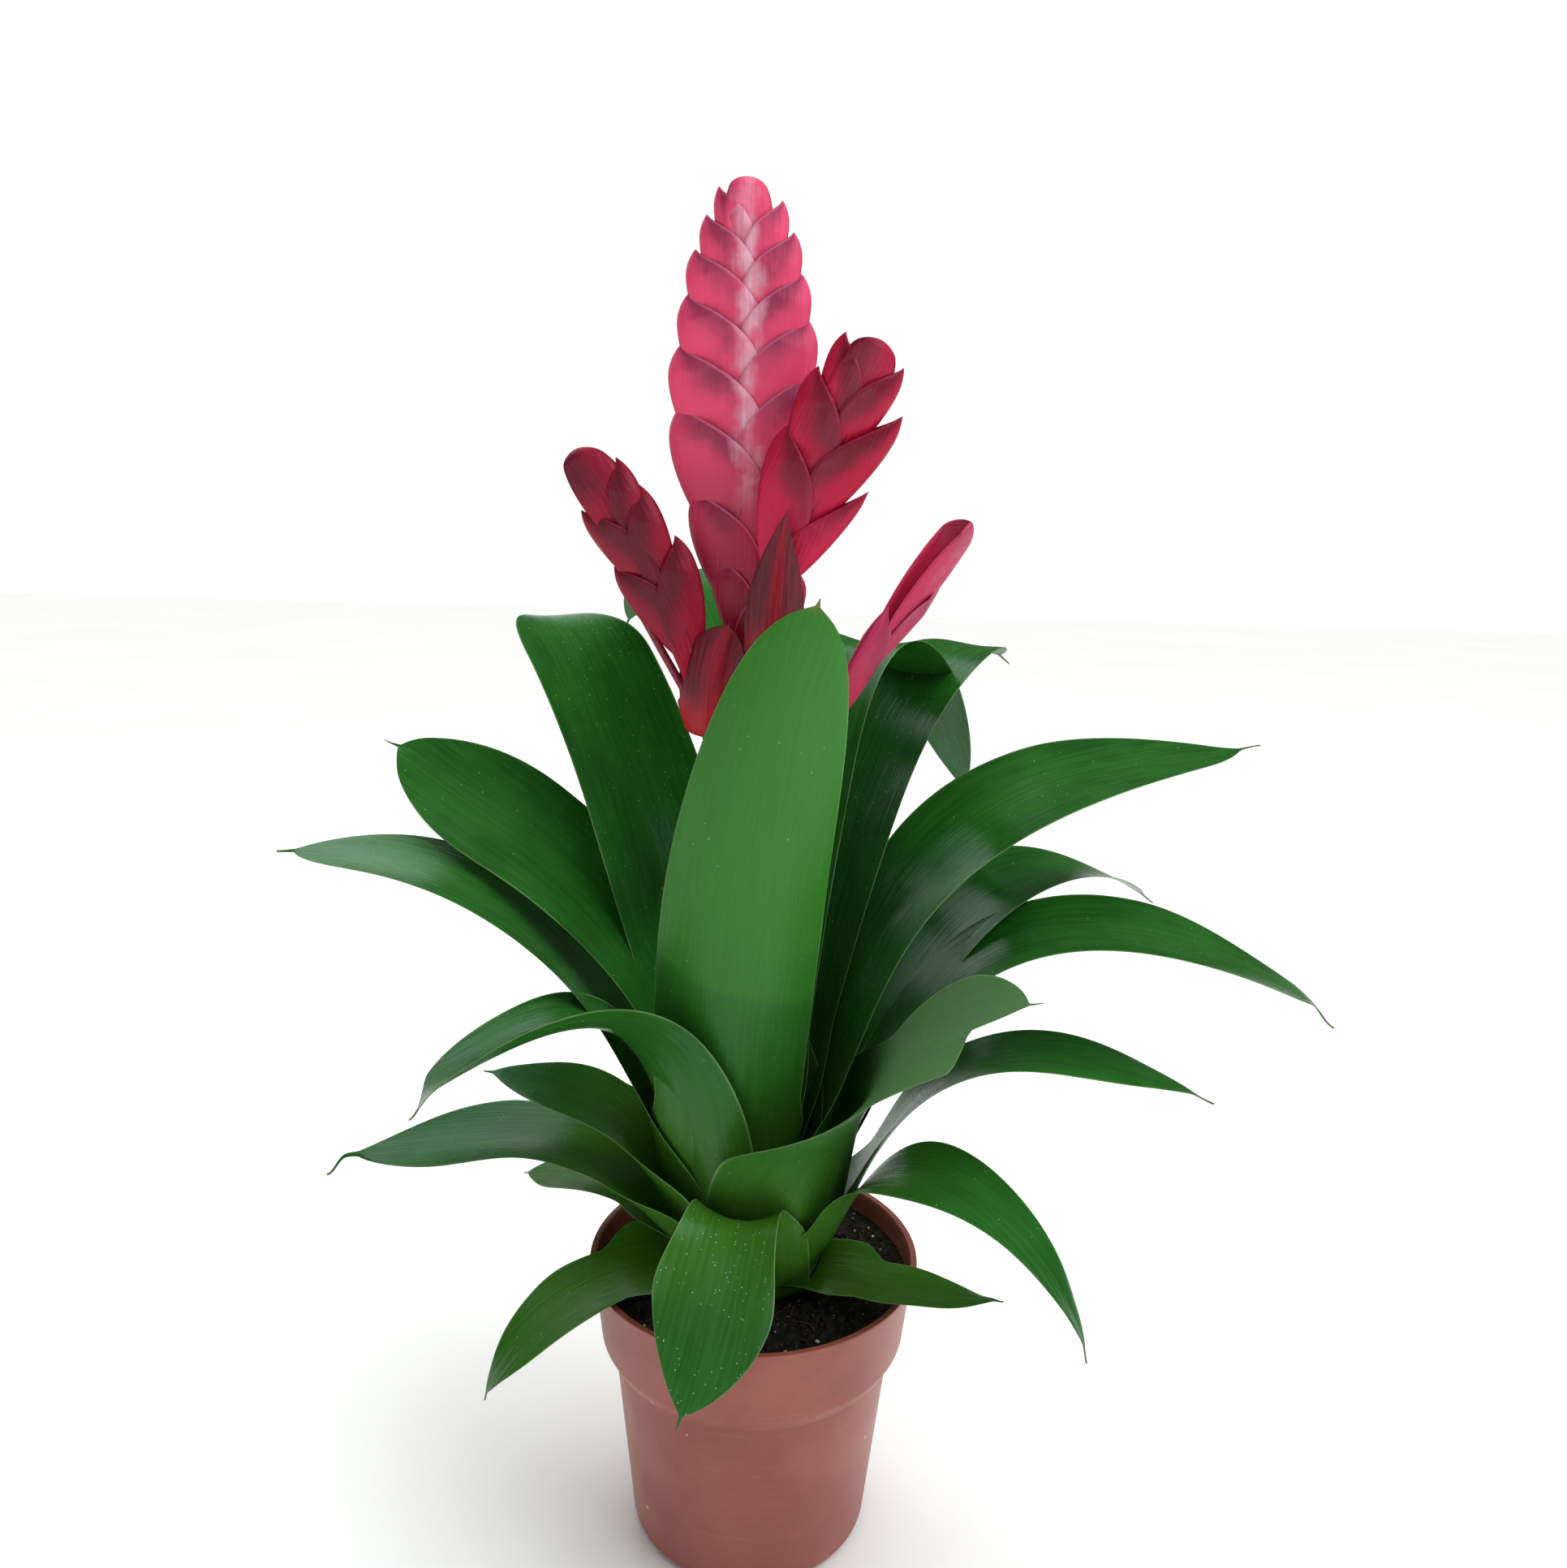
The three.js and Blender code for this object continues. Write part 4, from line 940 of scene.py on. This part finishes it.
def stem_material(colours):
    """Fleshy stem: green at the foot, red higher up, with lengthwise streaks."""
    material, tree = start_material("stem")
    place = node(tree, "ShaderNodeTexCoord").outputs["Object"]
    streak_place = scaled(tree, place, 0.0012, 0.0012, 0.02)
    streaks = step(tree, noise(tree, streak_place), 0.3, 0.7)
    level = node(tree, "ShaderNodeSeparateXYZ", {0: place}).outputs[2]
    base = tint(tree, step(tree, level, 0.18, 0.27), colours.stalk_green, colours.crimson)
    base = tint(tree, times(tree, streaks, 0.4), base, colours.maroon)
    rough = linear(tree, streaks, 0.15, 0.4)
    finish(base, rough, streaks, 0.0002)
    return material


def pot_material(settings):
    """Satin moulded plastic with soft mottling, fine scuffs and a few pale specks."""
    material, tree = start_material("pot plastic")
    place = node(tree, "ShaderNodeTexCoord").outputs["Object"]
    mottled = use_effect(tree, clouds(), Vector=place, Size=0.035)
    grain = use_effect(tree, clouds(), Vector=place, Size=0.0012)
    scuffs = step(tree, noise(tree, scaled(tree, place, 0.02, 0.02, 0.0015), 4.0, 0.7), 0.56, 0.72)
    base = tint(tree, mottled, settings.colour, settings.worn_colour)
    base = tint(tree, times(tree, scuffs, 0.18), base, settings.scuff_colour)
    pale = use_effect(tree, specks(), Vector=place, Size=0.003, Share=0.006)
    base = tint(tree, times(tree, pale, 0.5), base, settings.speck_colour)
    rough = linear(tree, mottled, 0.08, 0.36)
    rough = linear(tree, scuffs, 0.15, rough)
    finish(base, rough, grain, 0.00004, IOR=1.5)
    return material


def peat_material(name, colour, crumb_colour, chip_colour):
    """Matt peat with crumbs of another shade and separate chips."""
    material, tree = start_material(name)
    place = node(tree, "ShaderNodeTexCoord").outputs["Object"]
    crumbs = use_effect(tree, clouds(), Vector=place, Size=0.0022)
    chips = use_effect(tree, specks(), Vector=place, Size=0.0013, Share=0.16)
    base = tint(tree, times(tree, crumbs, 0.5), colour, crumb_colour)
    base = tint(tree, times(tree, chips, 0.35), base, chip_colour)
    rough = linear(tree, crumbs, -0.15, 0.95)
    finish(base, rough, crumbs, 0.0008)
    return material


def plain_material(name, colour, rough, size, contrast=0.45):
    """One colour with soft darker patches of the given size."""
    material, tree = start_material(name)
    place = node(tree, "ShaderNodeTexCoord").outputs["Object"]
    patches = use_effect(tree, clouds(), Vector=place, Size=size)
    dark = tuple((1 - contrast) * c for c in colour)
    base = tint(tree, patches, colour, dark)
    finish(base, linear(tree, patches, 0.08, rough), patches, 0.0002)
    return material


# ------------------------------------------------------------------ settings


def colour_setting(name, description, code):
    return FloatVectorProperty(name=name, description=description, subtype="COLOR", size=3,
                               min=0, max=1, default=srgb(code))


class PotSettings(bpy.types.PropertyGroup):
    wall: FloatProperty(name="Wall", description="Thickness of the pot's wall",
                        default=POT_WALL * MM, min=0.0005, max=0.004, subtype="DISTANCE",
                        unit="LENGTH", precision=4)
    colour: colour_setting("Colour", "Plastic", "A05648")
    worn_colour: colour_setting("Mottling", "Duller patches of the plastic", "924A3D")
    scuff_colour: colour_setting("Scuffs", "Fine rubbed marks", "C48478")
    speck_colour: colour_setting("Specks", "Small pale specks", "E7E1DA")


class PeatSettings(bpy.types.PropertyGroup):
    colour: colour_setting("Colour", "Damp peat", "15100D")
    crumb_colour: colour_setting("Crumb colour", "Dry crumbs", "2E231B")
    chip_colour: colour_setting("Chips", "Brown chips", "897359")
    grit_colour: colour_setting("Grit", "Pale grit", "D8D2C4")
    fibre_colour: colour_setting("Fibres", "Dry fibres", "5A4736")
    crumbs: IntProperty(name="Crumbs", description="Loose dark crumbs", default=700, min=0)
    grit: IntProperty(name="Grit", description="Grains of pale grit", default=170, min=0)
    fibres: IntProperty(name="Fibres", description="Loose fibres", default=36, min=0)


class PlantSettings(bpy.types.PropertyGroup):
    leaf_deep: colour_setting("Leaf", "Darkest green of a grown leaf", "1B5016")
    leaf_fresh: colour_setting("Fresh leaf", "Lighter green of a grown leaf", "357E2C")
    # Painted backlight of the upright inner leaf.
    leaf_backlight: colour_setting("Painted backlight", "The upright inner leaf", "46982A")
    leaf_under: colour_setting("Underside", "Paler lower face", "3A7430")
    leaf_through: colour_setting("Light through", "Light that passes a blade", "5A9A28")
    sheath: colour_setting("Sheath", "Yellow-green foot of a leaf", "568C26")
    margin: colour_setting("Margin", "Thin edge of a leaf", "A9C88A")
    # Grey-green film and painted sheen.
    grey_film_and_sheen: colour_setting("Film and sheen", "Grey-green film and painted sheen", "78A070")
    dry_tip: colour_setting("Dry tip", "Withered point", "8C7A48")
    dust: colour_setting("Dust", "White dust on old leaves", "E7EDE7")
    leaf_gloss: colour_setting("Gloss", "Tint of a leaf's gloss", "CEFFEA")
    maroon: colour_setting("Maroon", "Dark flank of a leafy bract", "5E0F22")
    crimson: colour_setting("Crimson", "Lighter flank of a leafy bract", "8E142E")
    scarlet: colour_setting("Scarlet", "Bright middle and foot of a leafy bract", "D0122C")
    plum: colour_setting("Plum", "Dark edge of a leafy bract", "40101E")
    stalk_green: colour_setting("Stalk", "Green foot of the flower stalk", "6E8A3C")


class StageSettings(bpy.types.PropertyGroup):
    key: FloatProperty(name="Overhead light", description="Strength of the soft light above",
                       default=3, min=0)
    rear: FloatProperty(name="Rear light", description="Power of the softbox behind the plant",
                        default=6.5, min=0, unit="POWER")
    window: FloatProperty(name="Side light", description="Power of the cool light at the right",
                          default=7, min=0, unit="POWER")
    fill: FloatProperty(name="Fill light", description="Power of the soft light in front",
                        default=3, min=0, unit="POWER")
    sky: FloatProperty(name="Surround", description="Light that the white surround gives",
                       default=0.26, min=0)
    mirrored: FloatProperty(name="Mirrored surround", description="Surround that gloss shows",
                            default=0.1, min=0)
    floor_colour: colour_setting("Floor", "Pale floor", "F6F6F4")


# ------------------------------------------------------------------ operators


class BROMELIAD_OT_pot(bpy.types.Operator):
    """Adds the plastic pot with its band, lip and drain notches"""
    bl_idname = "bromeliad.pot"
    bl_label = "Pot"

    def execute(self, context):
        build_pot(context.scene.bromeliad_pot)
        return {"FINISHED"}


class BROMELIAD_OT_peat(bpy.types.Operator):
    """Fills the pot with peat and strews crumbs, grit and fibres on it"""
    bl_idname = "bromeliad.peat"
    bl_label = "Peat"

    def execute(self, context):
        build_peat(context.scene.bromeliad_peat)
        build_litter(context.scene.bromeliad_peat)
        return {"FINISHED"}


class BROMELIAD_OT_stem(bpy.types.Operator):
    """Adds the stem, the flower stalk and the axes of the spikes"""
    bl_idname = "bromeliad.stem"
    bl_label = "Stem"

    def execute(self, context):
        build_stem(context.scene.bromeliad_plant)
        return {"FINISHED"}


class BROMELIAD_OT_leaves(bpy.types.Operator):
    """Adds the strap leaves of the rosette"""
    bl_idname = "bromeliad.leaves"
    bl_label = "Leaves"

    def execute(self, context):
        material = leaf_material(context.scene.bromeliad_plant)
        for name, leaf in LEAVES.items():
            build_leaf(name, {"tuck": FOOT_TUCK, **leaf}, "leaf", material)
        return {"FINISHED"}


class BROMELIAD_OT_spikes(bpy.types.Operator):
    """Adds the folded bracts of the four flower spikes"""
    bl_idname = "bromeliad.spikes"
    bl_label = "Flower spikes"

    def execute(self, context):
        for spike_name, spike in SPIKES.items():
            material = bract_material(spike_name + " bract", BRACT_PAINTS[spike_name])
            for number, bract in enumerate(spike["bracts"]):
                build_bract(f"{spike_name}_bract_{number + 1}", spike, bract, number, material)
        return {"FINISHED"}


class BROMELIAD_OT_branch_bracts(bpy.types.Operator):
    """Adds the leaf-like bracts at the feet of the side spikes"""
    bl_idname = "bromeliad.branch_bracts"
    bl_label = "Branch bracts"

    def execute(self, context):
        material = leafy_bract_material(context.scene.bromeliad_plant)
        for name, bract in BRANCH_BRACTS.items():
            build_leaf(name, bract, "red_bract", material)
        return {"FINISHED"}


def add_light(name, kind, place, target, power, colour, **shape):
    """Light at a place that faces a target, in metres, with a side length or an angle. Gloss
    mirrors the softboxes only."""
    light = bpy.data.lights.new(name, kind)
    light.energy, light.color = power, colour
    for key, value in shape.items():
        setattr(light, key, value)
    lamp = bpy.data.objects.new(name, light)
    bpy.context.collection.objects.link(lamp)
    away = Vector(place) - Vector(target)
    turn = away.to_track_quat("Z", "Y").to_matrix().to_4x4()
    lamp.matrix_world = Matrix.Translation(place) @ turn
    lamp.visible_glossy, lamp.visible_camera = kind != "SUN", False


class BROMELIAD_OT_stage(bpy.types.Operator):
    """Adds the floor, the soft studio lights, the white surround and the camera"""
    bl_idname = "bromeliad.stage"
    bl_label = "Stage"

    def execute(self, context):
        settings = context.scene.bromeliad_stage
        mesh = bpy.data.meshes.new("floor")
        corners = [(x * FLOOR_REACH, y * FLOOR_REACH, 0) for x, y in
                   ((-1, -1), (1, -1), (1, 1), (-1, 1))]
        mesh.from_pydata(corners, [], [(0, 1, 2, 3)])
        floor = bpy.data.objects.new("floor", mesh)
        context.collection.objects.link(floor)
        mesh.materials.append(plain_material("pale floor", settings.floor_colour, 0.8, 0.3, 0.03))
        middle = (0, 0, 0.25)
        add_light("overhead", "SUN", (0.35, 0.35, 1.5), middle, settings.key, (1, 1, 1), angle=1.3)
        add_light("rear softbox", "AREA", (-0.6, 0.85, 1), middle, settings.rear, (0.92, 0.97, 1),
                  size=1.2)
        add_light("front fill", "AREA", (-0.6, -1.5, 0.9), middle, settings.fill, (1, 1, 1),
                  size=1.2)
        add_light("side window", "AREA", (0.95, -0.5, 1), middle, settings.window,
                  (0.86, 0.95, 1), size=0.9)
        world = bpy.data.worlds.new("white surround")
        context.scene.world = world
        world.use_nodes = True
        tree = world.node_tree
        ray = node(tree, "ShaderNodeLightPath").outputs
        strength = linear(tree, ray["Is Camera Ray"], 1 - settings.sky, settings.sky)
        strength = linear(tree, ray["Is Glossy Ray"],
                        settings.mirrored - settings.sky, strength)
        tree.links.new(strength, tree.nodes["Background"].inputs["Strength"])
        tree.nodes["Background"].inputs["Color"].default_value = (1, 1, 1, 1)
        context.scene.view_settings.view_transform = "Standard"
        lens = bpy.data.cameras.new("camera")
        lens.lens, lens.sensor_width = CAMERA_LENS, CAMERA_SENSOR
        camera = bpy.data.objects.new("camera", lens)
        context.collection.objects.link(camera)
        camera.matrix_world = (Matrix.Translation([x * MM for x in CAMERA_PLACE])
                               @ Matrix.Rotation(math.pi / 2 - CAMERA_DOWN, 4, "X")
                               @ Matrix.Rotation(-CAMERA_ROLL, 4, "Z"))
        context.scene.camera = camera
        return {"FINISHED"}


OPERATORS = (BROMELIAD_OT_pot, BROMELIAD_OT_peat, BROMELIAD_OT_stem, BROMELIAD_OT_leaves,
             BROMELIAD_OT_branch_bracts, BROMELIAD_OT_spikes, BROMELIAD_OT_stage)
SETTINGS = {"bromeliad_pot": PotSettings, "bromeliad_peat": PeatSettings,
            "bromeliad_plant": PlantSettings, "bromeliad_stage": StageSettings}


class BROMELIAD_PT_panel(bpy.types.Panel):
    bl_label = "Bromeliad"
    bl_idname = "BROMELIAD_PT_panel"
    bl_space_type = "VIEW_3D"
    bl_region_type = "UI"
    bl_category = "Bromeliad"

    def draw(self, context):
        for key, group in SETTINGS.items():
            box = self.layout.box()
            box.label(text=key.split("_")[1].capitalize())
            for name in group.__annotations__:
                box.prop(getattr(context.scene, key), name)
        for operator in OPERATORS:
            self.layout.operator(operator.bl_idname)


def register():
    for group in (*SETTINGS.values(), *OPERATORS, BROMELIAD_PT_panel):
        bpy.utils.register_class(group)
    for key, group in SETTINGS.items():
        setattr(bpy.types.Scene, key, PointerProperty(type=group))


def unregister():
    for key in SETTINGS:
        delattr(bpy.types.Scene, key)
    for group in (BROMELIAD_PT_panel, *OPERATORS[::-1], *SETTINGS.values()):
        bpy.utils.unregister_class(group)


def main():
    register()
    for make in (bpy.ops.bromeliad.pot, bpy.ops.bromeliad.peat, bpy.ops.bromeliad.stem,
                 bpy.ops.bromeliad.leaves, bpy.ops.bromeliad.branch_bracts,
                 bpy.ops.bromeliad.spikes, bpy.ops.bromeliad.stage):
        make()


if __name__ == "__main__":
    main()
